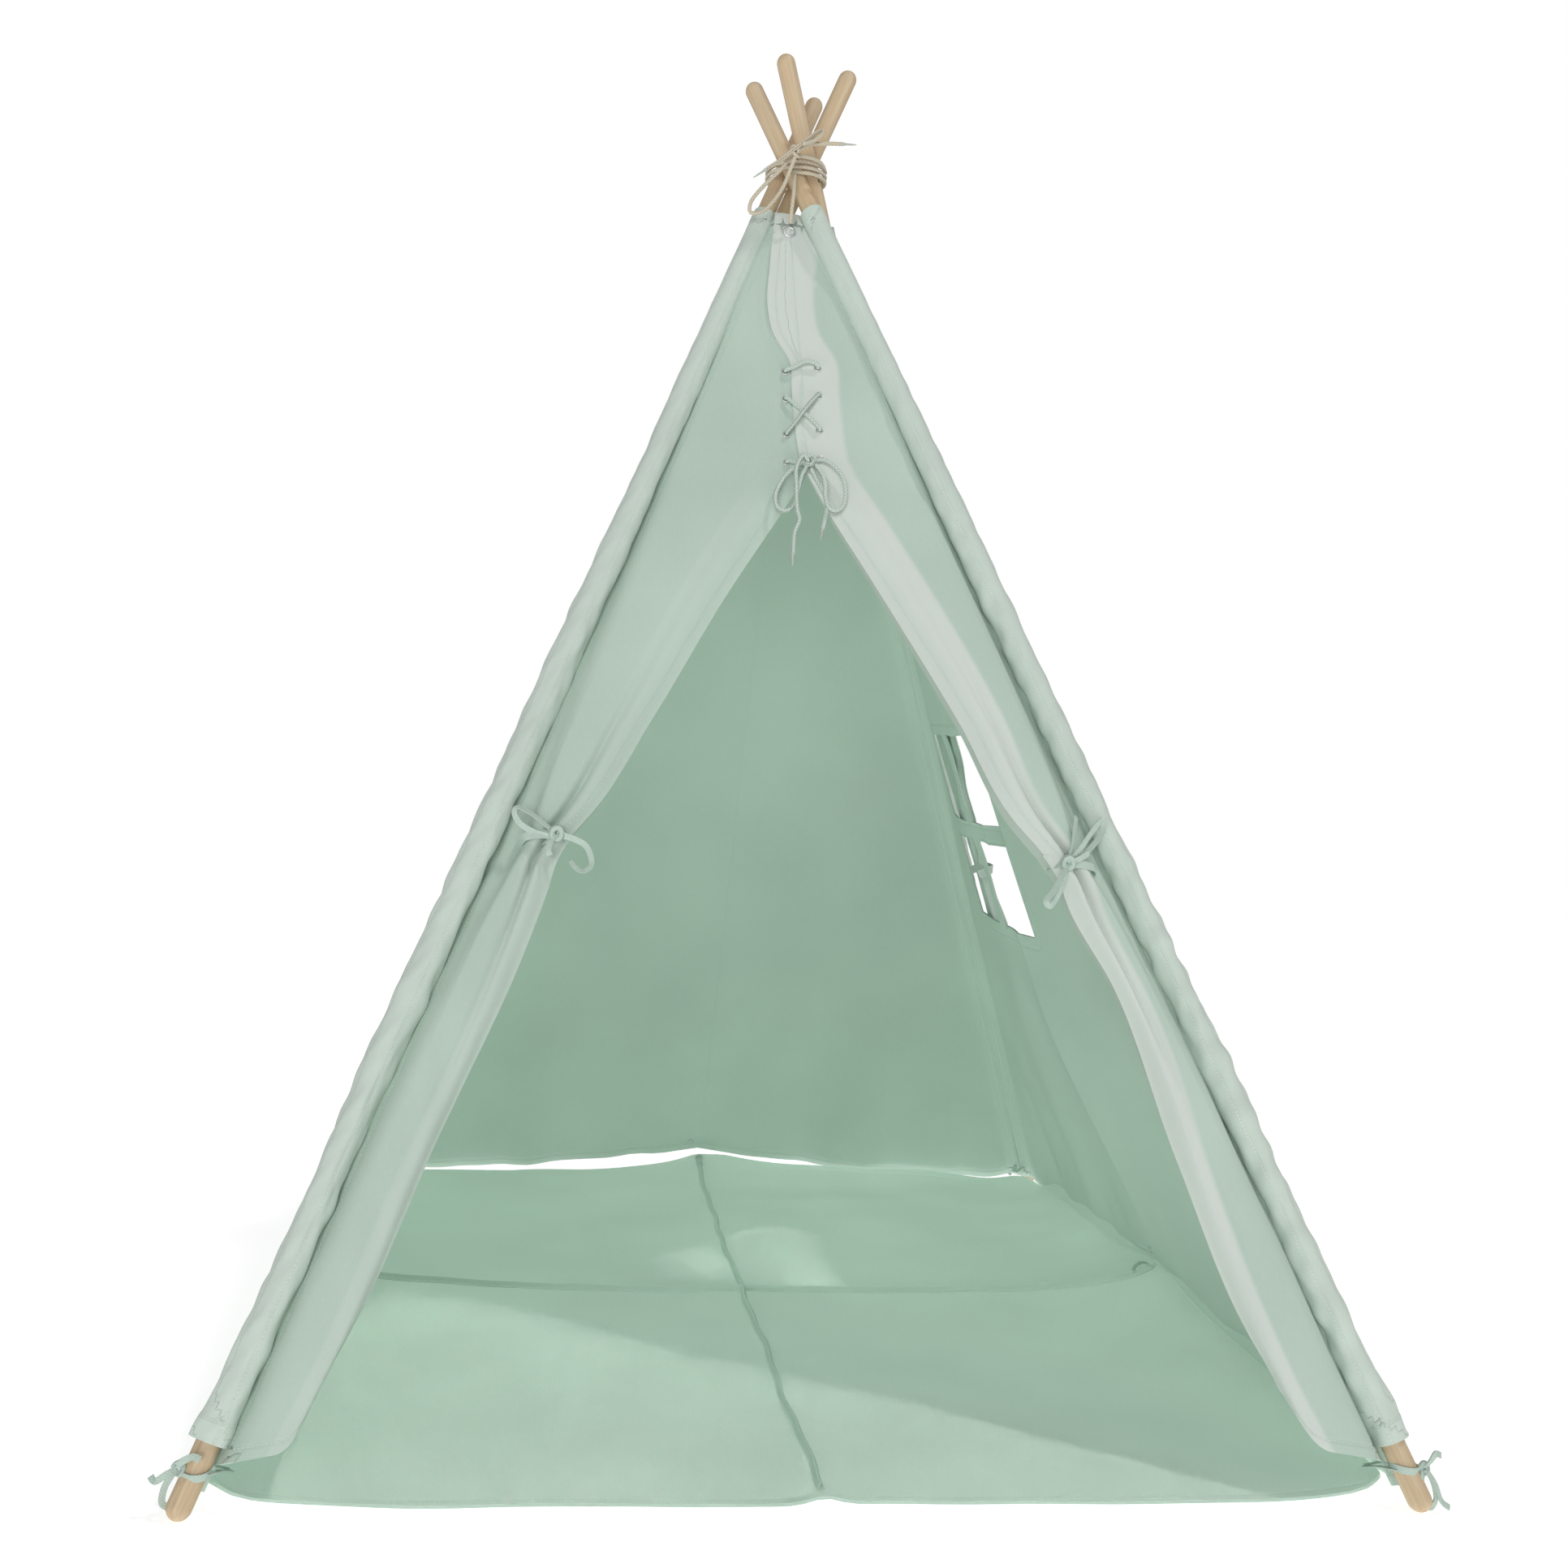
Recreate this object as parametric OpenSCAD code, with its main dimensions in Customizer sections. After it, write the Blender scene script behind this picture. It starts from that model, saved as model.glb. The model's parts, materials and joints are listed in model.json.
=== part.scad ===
// A four-pole play tent: wooden poles crossing in a pinwheel under a cord lashing, and a canvas cover
// sewn to pole sleeves, laced at the front, with tied-back door flaps, a window and a floor mat.
// Millimetres. +Z is up, the door faces -Y, and the origin is on the floor under the crossing.
// Pole 0 is front left, 1 front right, 2 back right, 3 back left: each is the last turned 90 degrees.

/* [Poles] */
// Distance between two neighbouring pole feet
foot_gap = 1200; // [900:10:1500]
// Height of the crossing above the floor
cross_h = 1520; // [1200:10:1800]
// Length of one pole
pole_len = 1880; // [1500:10:2200]
// Pole diameter
pole_d = 24; // [18:1:32]
// How far each pole passes beside the middle line, so that the four clear each other
pole_offset = 19; // [18:0.5:30]
// Length of the metal tubes that join the pole sections
ferrule_len = 90; // [60:5:120]

/* [Canvas] */
// Thickness of the cover
cloth_t = 1.6; // [1:0.1:3]
// Distance from a pole's foot to the lower end of its sleeve, along the pole
sleeve_low = 58; // [30:1:120]
// Distance from the crossing to the upper end of a sleeve, along the pole
sleeve_gap = 85; // [60:1:150]
// Height of the wall hem above the floor
hem_h = 12; // [8:1:60]
// Height of the top of the door opening
door_top_h = 1075; // [900:5:1200]
// Height at which the door flaps are tied back
tie_h = 620; // [400:5:800]
// Thickness of a gathered door flap
flap_t = 12; // [6:1:30]

/* [Window] */
// Height of the window's lower edge
window_low = 520; // [400:5:600]
// Height of the window's upper edge
window_high = 785; // [700:5:850]
// Distance that the window reaches behind the middle of the right wall
window_rear = 230; // [150:5:240]
// Distance that the window reaches in front of the middle of the right wall
window_front = 70; // [40:5:150]
// Width of the window's cross bars
bar_w = 26; // [16:1:40]

/* [Mat] */
// Width of the floor mat
mat_w = 1180; // [1000:10:1180]
// Depth of the floor mat
mat_d = 1166; // [1000:2:1180]
// Thickness of the floor mat
mat_t = 4; // [2:0.5:6]
// Radius of the mat's corners
mat_corner = 50; // [20:5:120]

/* [Cords] */
// Diameter of the lashing cord
lashing_d = 5; // [3:0.5:8]
// Diameter of the lacing cord
lacing_d = 5; // [3:0.5:6]
// Radius of the lashing turns round the crossing
lashing_r = 39; // [38:1:50]

/* [Hidden] */
$fn = 48;

FL = 0;
FR = 1;
BR = 2;
BL = 3;
FRONT = 0;
RIGHT = 1;
BACK = 2;
LEFT = 3;

wood = [0.86, 0.76, 0.62];
metal = [0.80, 0.80, 0.80];
canvas = [0.64, 0.73, 0.64];
canvas_dark = [0.58, 0.68, 0.60];
tape = [0.60, 0.72, 0.64];
cord_beige = [0.86, 0.82, 0.74];

clear = 0.3;
pole_r = pole_d / 2;
ferrule_bore_r = pole_r + 0.05;
ferrule_r = ferrule_bore_r + 0.55;
sleeve_bore_r = ferrule_r + clear;
sleeve_r = sleeve_bore_r + 0.8;

// One pole's line, in the frame of pole 0: from its foot to where it passes the middle line.
foot = [-foot_gap / 2, -foot_gap / 2, pole_r];
pass = [-pole_offset * cos(45), pole_offset * sin(45), cross_h];
up_pole = unit(pass - foot);
heading = atan2(up_pole[1], up_pole[0]);
tilt = acos(up_pole[2]);
cross_s = norm(pass - foot);
tip_s = pole_len - pole_d;
section_len = tip_s / 3;
sleeve_high = cross_s - sleeve_gap;

// Each wall is flat. It leans in by the slope, and runs from one pole to the next.
rise_h = cross_h - pole_r;
slope = atan((foot_gap / 2) / rise_h);

function unit(v) = v / norm(v);

// Wall places are [distance along the wall from its middle, height]. Side -1 is the wall's first pole
// and side 1 its next one, seen from outside with the first pole on the left.
FIRST = -1;
SECOND = 1;
function share_up(height) = (height - pole_r) / rise_h;
function pole_x(height, side) = side * foot_gap / 2 + share_up(height) * (pass[0] - side * foot_gap / 2);
function middle_x(height) = share_up(height) * pass[0];
function flat(place) = [place[0], (place[1] - pole_r) / cos(slope)];
function flats(places) = [for (place = places) flat(place)];

// Places its children with +Z up pole number n from its foot.
module up(n) {
    rotate([0, 0, 90 * n])
        translate(foot)
            rotate([0, 0, heading])
                rotate([0, tilt, 0])
                    children();
}

// Places its children in wall number w: X along it, Y up it, Z out of it.
module against_wall(w) {
    rotate([0, 0, 90 * w])
        translate([0, -foot_gap / 2, pole_r])
            rotate([90 - slope, 0, 0])
                children();
}

// Gives a flat outline in wall w its thickness, centred so far out of the wall.
module sheet(w, thickness = cloth_t, out = 0) {
    against_wall(w)
        translate([0, 0, out - thickness / 2])
            linear_extrude(thickness)
                children();
}

// ---- Poles ----

module rod(from, to) {
    translate([0, 0, from])
        cylinder(r = pole_r, h = to - from);
}

module pole_lower(n) {
    color(wood)
        up(n) {
            rod(0, section_len - clear / 2);
            sphere(r = pole_r);
        }
}

module pole_middle(n) {
    color(wood)
        up(n)
            rod(section_len + clear / 2, 2 * section_len - clear / 2);
}

// The upper section has a rounded tip and a hole, just below the crossing, for the lashing cord.
cord_hole_drop = 22;
cord_hole_r = 3.5;

module pole_upper(n) {
    color(wood)
        up(n)
            difference() {
                union() {
                    rod(2 * section_len + clear / 2, tip_s);
                    translate([0, 0, tip_s])
                        sphere(r = pole_r);
                }
                translate([0, 0, cross_s - cord_hole_drop])
                    rotate([90, 0, 0])
                        cylinder(r = cord_hole_r, h = 2 * pole_d, center = true);
            }
}

module pole_ferrules(n) {
    color(metal)
        up(n)
            for (k = [1, 2])
                translate([0, 0, k * section_len])
                    difference() {
                        cylinder(r = ferrule_r, h = ferrule_len, center = true);
                        cylinder(r = ferrule_bore_r, h = ferrule_len + 2, center = true);
                    }
}

// ---- Canvas ----

module sleeve(n) {
    color(canvas)
        up(n)
            translate([0, 0, sleeve_low])
                difference() {
                    cylinder(r = sleeve_r, h = sleeve_high - sleeve_low);
                    translate([0, 0, -1])
                        cylinder(r = sleeve_bore_r, h = sleeve_high - sleeve_low + 2);
                }
}

// Half of a wall: from beside the sleeve to the wall's middle line.
wall_top_h = cross_h - sleeve_gap * up_pole[2] - 8;
seam_gap = (sleeve_r + clear) / cos(asin(abs(up_pole[1])));
middle_gap = 0.3;

function beside_pole(height, side) = [pole_x(height, side) - side * seam_gap, height];
function beside_middle(height, side) = [middle_x(height) + side * middle_gap, height];

module half_wall_outline(side) {
    polygon(flats([
        beside_pole(hem_h + 10, side),
        beside_middle(hem_h, side),
        beside_middle(wall_top_h, side),
        beside_pole(wall_top_h, side),
    ]));
}

// A small round hole in the cloth.
module hole(place, r) {
    translate(flat(place))
        circle(r = r + clear);
}

// A four-sided area of a wall.
module patch(from_x, to_x, low, high) {
    polygon(flats([[from_x, low], [to_x, low], [to_x, high], [from_x, high]]));
}

module half_wall(w, side) {
    color(canvas)
        sheet(w)
            half_wall_outline(side);
}

// A half wall with a hem eyelet's hole close beside the middle line.
hem_eyelet_h = 66;
hem_eyelet_x = 14;
hem_eyelet_r = 6;

module half_wall_with_eyelet(w) {
    color(canvas)
        sheet(w)
            difference() {
                half_wall_outline(SECOND);
                hole([hem_eyelet_x, hem_eyelet_h], hem_eyelet_r);
            }
}

module right_half_wall(side) {
    color(canvas)
        sheet(RIGHT)
            difference() {
                half_wall_outline(side);
                patch(-window_front, window_rear, window_low, window_high);
                if (side == SECOND)
                    hole([hem_eyelet_x, hem_eyelet_h], hem_eyelet_r);
            }
}

// The cross bars lie in the window, a hair clear of its edges.
window_mid_h = (window_low + window_high) / 2;
window_mid_x = (window_rear - window_front) / 2;

module level_bar(from_x, to_x) {
    patch(from_x, to_x, window_mid_h - bar_w / 2, window_mid_h + bar_w / 2);
}

module window_bars_rear() {
    color(canvas_dark)
        sheet(RIGHT) {
            level_bar(middle_x(window_mid_h) + 2 * middle_gap, window_rear - clear);
            patch(
                window_mid_x - bar_w / 2, window_mid_x + bar_w / 2,
                window_low + clear, window_high - clear);
        }
}

module window_bars_front() {
    color(canvas_dark)
        sheet(RIGHT)
            level_bar(clear - window_front, middle_x(window_mid_h) - 2 * middle_gap);
}

// The curtain hangs outside the window from its top edge, gathered towards the back.
curtain_t = 5;
curtain_out = cloth_t / 2 + 1 + curtain_t / 2;
curtain_top_h = window_high + 14;
gather_h = window_low + 60;

module window_curtain() {
    color(canvas_dark)
        sheet(RIGHT, curtain_t, curtain_out)
            polygon(flats([
                [4, curtain_top_h],
                [4, window_high + 3],
                [130, window_high - 60],
                [185, gather_h],
                [190, window_low - 20],
                [228, window_low - 20],
                [224, gather_h],
                [236, curtain_top_h],
            ]));
}

// A band of tape across the gathered curtain.
curtain_tie_t = 1.5;

module curtain_tie() {
    color(tape)
        sheet(RIGHT, curtain_tie_t, curtain_out + curtain_t / 2 + curtain_tie_t)
            patch(180, 229, gather_h - 6, gather_h + 6);
}

// The laced part of the front, above the door. The two panels meet along the placket.
eyelet_heights = [1212, 1174, 1126, 1088];
eyelet_step = 8;
eyelet_x = 21;
eyelet_r = 5;
top_eyelet_r = 9;
top_eyelet_place = [-12, wall_top_h - 20];
placket_low_h = 1190;
placket_high_h = 1330;
placket_x = -25;

// The eyelets on the second side stand a step higher than their partners.
function eyelet_place(height, side) = [side * eyelet_x, height + (side == SECOND ? eyelet_step : 0)];
function beside_placket(x, height, side) = [x + side * middle_gap, height];

module front_panel(side) {
    color(canvas)
        sheet(FRONT)
            difference() {
                polygon(flats([
                    beside_pole(tie_h + 20, side),
                    [side * 276, tie_h + 12],
                    [side * 126, 859],
                    beside_placket(0, door_top_h, side),
                    beside_placket(0, placket_low_h, side),
                    beside_placket(placket_x, placket_high_h, side),
                    beside_placket(placket_x, wall_top_h, side),
                    beside_pole(wall_top_h, side),
                ]));
                for (h = eyelet_heights)
                    hole(eyelet_place(h, side), eyelet_r);
                if (side == SECOND)
                    hole(top_eyelet_place, top_eyelet_r);
            }
}

// The gathered lower part of the front, from the tie down to the hem.
module door_flap(side) {
    color(canvas_dark)
        sheet(FRONT, flap_t)
            polygon(flats([
                beside_pole(sleeve_low + 12, side) - [side * 2, 0],
                [side * 530, 62],
                [side * 484, 70],
                [side * 440, 150],
                [side * 372, 340],
                [side * 318, 520],
                [side * 292, tie_h - 18],
                [side * 318, tie_h - 14],
                beside_pole(tie_h - 10, side) - [side * 2, 0],
            ]));
}

// A flat metal ring in a hole of the cloth.
module eyelet(w, place, r, hole_r, thickness = cloth_t + 1.2) {
    color(metal)
        against_wall(w)
            translate([flat(place)[0], flat(place)[1], 0])
                rotate_extrude()
                    translate([hole_r, -thickness / 2])
                        square([r - hole_r, thickness]);
}

module lacing_eyelets(side) {
    for (h = eyelet_heights)
        eyelet(FRONT, eyelet_place(h, side), eyelet_r, 3);
}

module top_eyelet() {
    eyelet(FRONT, top_eyelet_place, top_eyelet_r, 6);
}

module hem_eyelet(w) {
    eyelet(w, [hem_eyelet_x, hem_eyelet_h], hem_eyelet_r, 3.5);
}

// A tape bow in front of a gathered flap: a knot and two loops.
loop_r = 17;
bow_out = flap_t / 2 + loop_r + 2;
knot_r = 7;
tape_t = 2;
tape_w = 9;

module tape_ring() {
    difference() {
        cylinder(r = loop_r, h = tape_w, center = true);
        cylinder(r = loop_r - tape_t, h = tape_w + 2, center = true);
    }
}

module door_tie(side) {
    color(tape)
        against_wall(FRONT)
            translate(concat(flat([side * 284, tie_h]), bow_out)) {
                sphere(r = knot_r);
                for (way = [-1, 1])
                    rotate([0, 0, 35 * way])
                        translate([way * (loop_r + knot_r + clear), 0, 0])
                            rotate([90, 0, 0])
                                tape_ring();
            }
}

// ---- Mat and ties ----

module mat_outline() {
    square([mat_w - 2 * mat_corner, mat_d], center = true);
    square([mat_w, mat_d - 2 * mat_corner], center = true);
    for (x = [-1, 1], y = [-1, 1])
        translate([x * (mat_w / 2 - mat_corner), y * (mat_d / 2 - mat_corner)])
            circle(r = mat_corner);
}

module floor_mat() {
    color([0.74, 0.77, 0.74])
        linear_extrude(mat_t)
            mat_outline();
}

// Two welted seams that cross in the middle of the mat.
seam_w = 8;
seam_t = 1.5;
seam_short = 130;

module mat_seams() {
    color([0.68, 0.72, 0.68])
        translate([0, 0, mat_t + clear])
            linear_extrude(seam_t) {
                square([mat_w - seam_short, seam_w], center = true);
                square([seam_w, mat_d - seam_short], center = true);
            }
}

// Tape loops on the mat's left, back and right edges, for the hem eyelets.
loop_stand_r = 14;

module mat_loop() {
    rotate([90, 0, 0])
        rotate_extrude(angle = 180)
            translate([loop_stand_r, 0])
                square([1.6, 10], center = true);
}

module mat_loops() {
    color(tape)
        for (quarter = [1, 2, 3])
            rotate([0, 0, 90 * quarter])
                translate([0, -mat_w / 2 + 28, mat_t + clear])
                    rotate([0, 0, 90])
                        mat_loop();
}

// A tape band round a pole's foot, knotted, with two short ends.
band_s = 32;

module corner_tie(n) {
    color(tape)
        up(n) {
            translate([0, 0, band_s])
                difference() {
                    cylinder(r = pole_r + clear + 1.6, h = 9, center = true);
                    cylinder(r = pole_r + clear, h = 11, center = true);
                }
            for (lean = [-1, 1])
                rotate([0, 0, 200 + 14 * lean])
                    translate([pole_r + 1.2, -1.5, band_s + 4])
                        rotate([0, 20, 0])
                            cube([1.6, 3, 20]);
        }
}

// ---- Cords ----

cord_sides = 8;

// A smooth line through the route's points, in so many steps a span.
function spline(p, i, t) =
    let (a = p[max(i - 1, 0)], b = p[i], c = p[i + 1], d = p[min(i + 2, len(p) - 1)])
    0.5 * (2 * b + (c - a) * t + (2 * a - 5 * b + 4 * c - d) * t * t + (3 * b - a - 3 * c + d) * t * t * t);
function smoothed(p, steps) = concat(
    [for (i = [0:len(p) - 2]) for (k = [0:steps - 1]) spline(p, i, k / steps)],
    [p[len(p) - 1]]);
function direction(p, i) = unit(p[min(i + 1, len(p) - 1)] - p[max(i - 1, 0)]);
function square_to(v, t) = unit(v - (v * t) * t);

// One [side, side] pair of unit vectors a ring, each carried on from the ring before it.
function rings(p, start, i = 0) =
    i == len(p) ? [] :
    let (t = direction(p, i), a = square_to(start, t))
    concat([[a, cross(t, a)]], rings(p, a, i + 1));

module cord(route, diameter, start = [0.3, 0.2, 1]) {
    frames = rings(route, start);
    turns = [for (k = [0:cord_sides - 1]) 360 * k / cord_sides];
    points = [
        for (i = [0:len(route) - 1]) for (a = turns)
            route[i] + diameter / 2 * (cos(a) * frames[i][0] + sin(a) * frames[i][1])
    ];
    last = (len(route) - 1) * cord_sides;
    walls = [
        for (i = [0:len(route) - 2]) for (k = [0:cord_sides - 1])
            let (a = i * cord_sides + k, b = i * cord_sides + (k + 1) % cord_sides)
            [a, a + cord_sides, b + cord_sides, b]
    ];
    polyhedron(
        points,
        concat(
            walls,
            [[for (k = [0:cord_sides - 1]) k]],
            [[for (k = [0:cord_sides - 1]) last + cord_sides - 1 - k]]),
        convexity = 10);
}

// A strand up from the top eyelet, turns round the crossing, a drooping bow loop and the right end.
lashing_turns = 2.25;
lashing_pitch = 7;
lashing_drop = 22;
turn_steps = 16;
strand_route = [[-12, -50, 1428], [-12, -56, 1444], [-10, -55, 1470], [-9, -47, 1492]];
wound = [
    for (k = [0:floor(lashing_turns * turn_steps)])
        let (turn = k / turn_steps, a = -100 + 360 * turn)
        [
            lashing_r * cos(a),
            lashing_r * sin(a),
            cross_h - lashing_drop + lashing_pitch * turn
        ]
];
loop_route = [
    [27, -36, 1514], [8, -50, 1514], [-15, -58, 1510], [-30, -62, 1490], [-51, -60, 1468],
    [-66, -57, 1448], [-66, -55, 1434], [-50, -55, 1437], [-36, -57, 1452], [-25, -60, 1470],
    [-18, -66, 1490], [-10, -70, 1512], [4, -66, 1524], [20, -60, 1529], [36, -55, 1533],
    [50, -52, 1535],
];

module lashing_cord() {
    color(cord_beige)
        cord(concat(strand_route, wound, loop_route), lashing_d);
}

// The left end and the small raised loop of the bow, tied over the turns.
bow_route = [
    [-47, -60, 1491], [-32, -68, 1500], [-16, -77, 1512], [0, -74, 1526], [14, -66, 1541],
    [23, -63, 1545], [20, -68, 1537], [9, -74, 1526], [-5, -84, 1517],
];

module lashing_bow() {
    color(cord_beige)
        cord(smoothed(bow_route, 2), lashing_d);
}

// A place in front of the front wall: distance along it, height, and distance out of it.
lacing_out = 7;
function laced(x, height, out = lacing_out) = [
    x,
    -foot_gap / 2 + (height - pole_r) * tan(slope) - out * cos(slope),
    height + out * sin(slope)
];
function laces(places) = [for (place = places) laced(place[0], place[1], place[2])];

// Each stretch of the lacing comes out of one eyelet and goes into the next, or into the bow's knot.
stitch_route = laces([
    [-21, 1212, 3], [-20, 1212, 6], [-10, 1216, 7], [4, 1224, 8], [16, 1224, 7], [20, 1221, 6],
    [21, 1220, 3],
]);
under_route = laces([
    [-21, 1174, 3], [-20, 1173, 6], [-8, 1163, 6], [2, 1153, 6], [12, 1144, 6], [20, 1135, 6],
    [21, 1134, 3],
]);
over_route = laces([
    [21, 1182, 3], [20, 1181, 7], [10, 1168, 11], [0, 1154, 12], [-10, 1140, 10], [-20, 1127, 7],
    [-21, 1126, 3],
]);
loop_left_route = laces([
    [-3, 1084, 14], [-15, 1074, 13], [-28, 1060, 11], [-37, 1040, 9], [-35, 1025, 8],
    [-25, 1020, 8], [-15, 1028, 8], [-10, 1045, 9], [-5, 1064, 11], [1, 1077, 13],
]);
loop_right_route = laces([
    [-21, 1088, 3], [-19, 1088, 5], [-8, 1086, 5], [5, 1085, 5], [14, 1089, 7], [22, 1090, 9],
    [33, 1084, 11], [44, 1071, 12], [49, 1054, 11], [47, 1034, 10], [38, 1024, 10], [28, 1026, 11],
    [24, 1040, 11], [24, 1054, 12], [21, 1068, 13], [13, 1080, 13],
]);
tail_left_route = laces([
    [1, 1093, 19], [-7, 1088, 21], [-13, 1070, 20], [-13, 1049, 17], [-12, 1022, 13],
    [-9, 1008, 11], [-15, 992, 9], [-17, 966, 8],
]);
tail_right_route = laces([
    [8, 1076, 10], [17, 1062, 5], [25, 1046, 4], [27, 1030, 4], [24, 1016, 4], [21, 1002, 5],
]);

module lacing(route) {
    color(tape)
        cord(smoothed(route, 2), lacing_d);
}

module lacing_knot() {
    color(tape)
        translate(laced(5, 1086, 14))
            sphere(r = 6.4);
}

// ---- Nodes ----

pole_lower(FL);  // pole_fl_lower
pole_middle(FL);  // pole_fl_middle
pole_upper(FL);  // pole_fl_upper
pole_ferrules(FL);  // pole_fl_ferrules
pole_lower(FR);  // pole_fr_lower
pole_middle(FR);  // pole_fr_middle
pole_upper(FR);  // pole_fr_upper
pole_ferrules(FR);  // pole_fr_ferrules
pole_lower(BR);  // pole_br_lower
pole_middle(BR);  // pole_br_middle
pole_upper(BR);  // pole_br_upper
pole_ferrules(BR);  // pole_br_ferrules
pole_lower(BL);  // pole_bl_lower
pole_middle(BL);  // pole_bl_middle
pole_upper(BL);  // pole_bl_upper
pole_ferrules(BL);  // pole_bl_ferrules
sleeve(FL);  // sleeve_fl
sleeve(FR);  // sleeve_fr
sleeve(BR);  // sleeve_br
sleeve(BL);  // sleeve_bl
half_wall_with_eyelet(LEFT);  // left_wall_front
half_wall(LEFT, FIRST);  // left_wall_rear
half_wall_with_eyelet(BACK);  // back_wall_left
half_wall(BACK, FIRST);  // back_wall_right
right_half_wall(SECOND);  // right_wall_rear
right_half_wall(FIRST);  // right_wall_front
window_bars_rear();
window_bars_front();
window_curtain();
curtain_tie();
front_panel(FIRST);  // front_panel_left
front_panel(SECOND);  // front_panel_right
door_flap(FIRST);  // door_flap_left
door_flap(SECOND);  // door_flap_right
door_tie(FIRST);  // door_tie_left
door_tie(SECOND);  // door_tie_right
lacing_eyelets(FIRST);  // lacing_eyelets_left
lacing_eyelets(SECOND);  // lacing_eyelets_right
top_eyelet();
lacing(stitch_route);  // lacing_stitch
lacing(under_route);  // lacing_cross_under
lacing(over_route);  // lacing_cross_over
lacing(loop_left_route);  // lacing_loop_left
lacing(loop_right_route);  // lacing_loop_right
lacing(tail_left_route);  // lacing_tail_left
lacing(tail_right_route);  // lacing_tail_right
lacing_knot();
lashing_cord();
lashing_bow();
floor_mat();
mat_seams();
mat_loops();
corner_tie(FL);  // corner_tie_fl
corner_tie(FR);  // corner_tie_fr
corner_tie(BR);  // corner_tie_br
corner_tie(BL);  // corner_tie_bl
hem_eyelet(LEFT);  // hem_eyelet_left
hem_eyelet(BACK);  // hem_eyelet_back
hem_eyelet(RIGHT);  // hem_eyelet_right
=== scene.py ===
"""A four-pole play tent: canvas, wood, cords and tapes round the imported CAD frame.
Metres, +Z up, door at -Y."""
import json
import math

import bmesh
import bpy
import numpy as np
from mathutils import Matrix, Vector

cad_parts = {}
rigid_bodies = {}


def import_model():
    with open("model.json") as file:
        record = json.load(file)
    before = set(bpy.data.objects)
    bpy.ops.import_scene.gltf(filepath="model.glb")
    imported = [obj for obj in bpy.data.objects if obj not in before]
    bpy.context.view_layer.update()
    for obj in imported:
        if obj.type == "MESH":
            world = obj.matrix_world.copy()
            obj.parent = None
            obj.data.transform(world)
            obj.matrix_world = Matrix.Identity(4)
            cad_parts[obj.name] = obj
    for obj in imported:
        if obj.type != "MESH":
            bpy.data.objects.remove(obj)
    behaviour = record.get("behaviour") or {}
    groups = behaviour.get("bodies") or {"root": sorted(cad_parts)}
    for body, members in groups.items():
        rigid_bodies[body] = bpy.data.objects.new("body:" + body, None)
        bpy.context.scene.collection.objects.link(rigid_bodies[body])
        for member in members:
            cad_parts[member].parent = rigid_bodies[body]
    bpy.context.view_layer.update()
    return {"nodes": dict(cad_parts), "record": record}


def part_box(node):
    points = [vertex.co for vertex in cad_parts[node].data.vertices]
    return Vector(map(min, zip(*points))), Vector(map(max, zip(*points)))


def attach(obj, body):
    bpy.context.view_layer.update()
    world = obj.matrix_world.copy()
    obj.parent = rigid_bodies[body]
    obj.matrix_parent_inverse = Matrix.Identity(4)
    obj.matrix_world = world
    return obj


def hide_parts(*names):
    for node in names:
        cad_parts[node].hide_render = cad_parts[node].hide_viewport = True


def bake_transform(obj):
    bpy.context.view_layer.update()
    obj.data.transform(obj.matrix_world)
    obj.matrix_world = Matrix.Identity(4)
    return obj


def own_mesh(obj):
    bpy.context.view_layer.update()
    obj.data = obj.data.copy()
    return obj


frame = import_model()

# ---- Sizes ---------------------------------------------------------------------------------------

MM = 0.001
POLE_R = 12 * MM
CLOTH_T = 1.2 * MM
SLEEVE_R = 16 * MM
CORD_D = 5 * MM
FRONT, RIGHT, BACK, LEFT = range(4)
CORNERS = ("fl", "fr", "br", "bl")
FIRST, SECOND = -1, 1

fold = next(joint for joint in frame["record"]["behaviour"]["joints"] if joint["name"] == "fold_fl")
foot = np.array(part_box("pole_fl_lower")[0]) + POLE_R
crossing = np.array(fold["pos_m"])
half_gap = -foot[0]
rise = crossing[2] - POLE_R
slope = math.atan(half_gap / rise)
up_pole = (crossing - foot) / np.linalg.norm(crossing - foot)
crossing_s = np.linalg.norm(crossing - foot)
sleeve_low = 58 * MM
sleeve_high = crossing_s - 85 * MM
wall_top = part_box("left_wall_rear")[1][2] - CLOTH_T
tie_h = 620 * MM
door_top = 1075 * MM
window_low, window_high = 520 * MM, 785 * MM
window_front, window_rear = 70 * MM, 230 * MM
mat_w, mat_d = 1180 * MM, 1166 * MM
mat_corner = 50 * MM
HEM_W = 14 * MM
HEM_EYELET_H = 66 * MM
BAR_W = 26 * MM


def quarter_turned(points, quarter):
    """Points turned about Z by so many right angles."""
    c, s = [(1, 0), (0, 1), (-1, 0), (0, -1)][quarter % 4]
    p = np.asarray(points, float)
    return np.stack([c * p[..., 0] - s * p[..., 1], s * p[..., 0] + c * p[..., 1], p[..., 2]], -1)


def smooth(x, low=0.0, high=1.0):
    """0 below low, 1 above high, and an easy step between."""
    t = np.clip((np.asarray(x, float) - low) / (high - low), 0, 1)
    return t * t * (3 - 2 * t)


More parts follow.
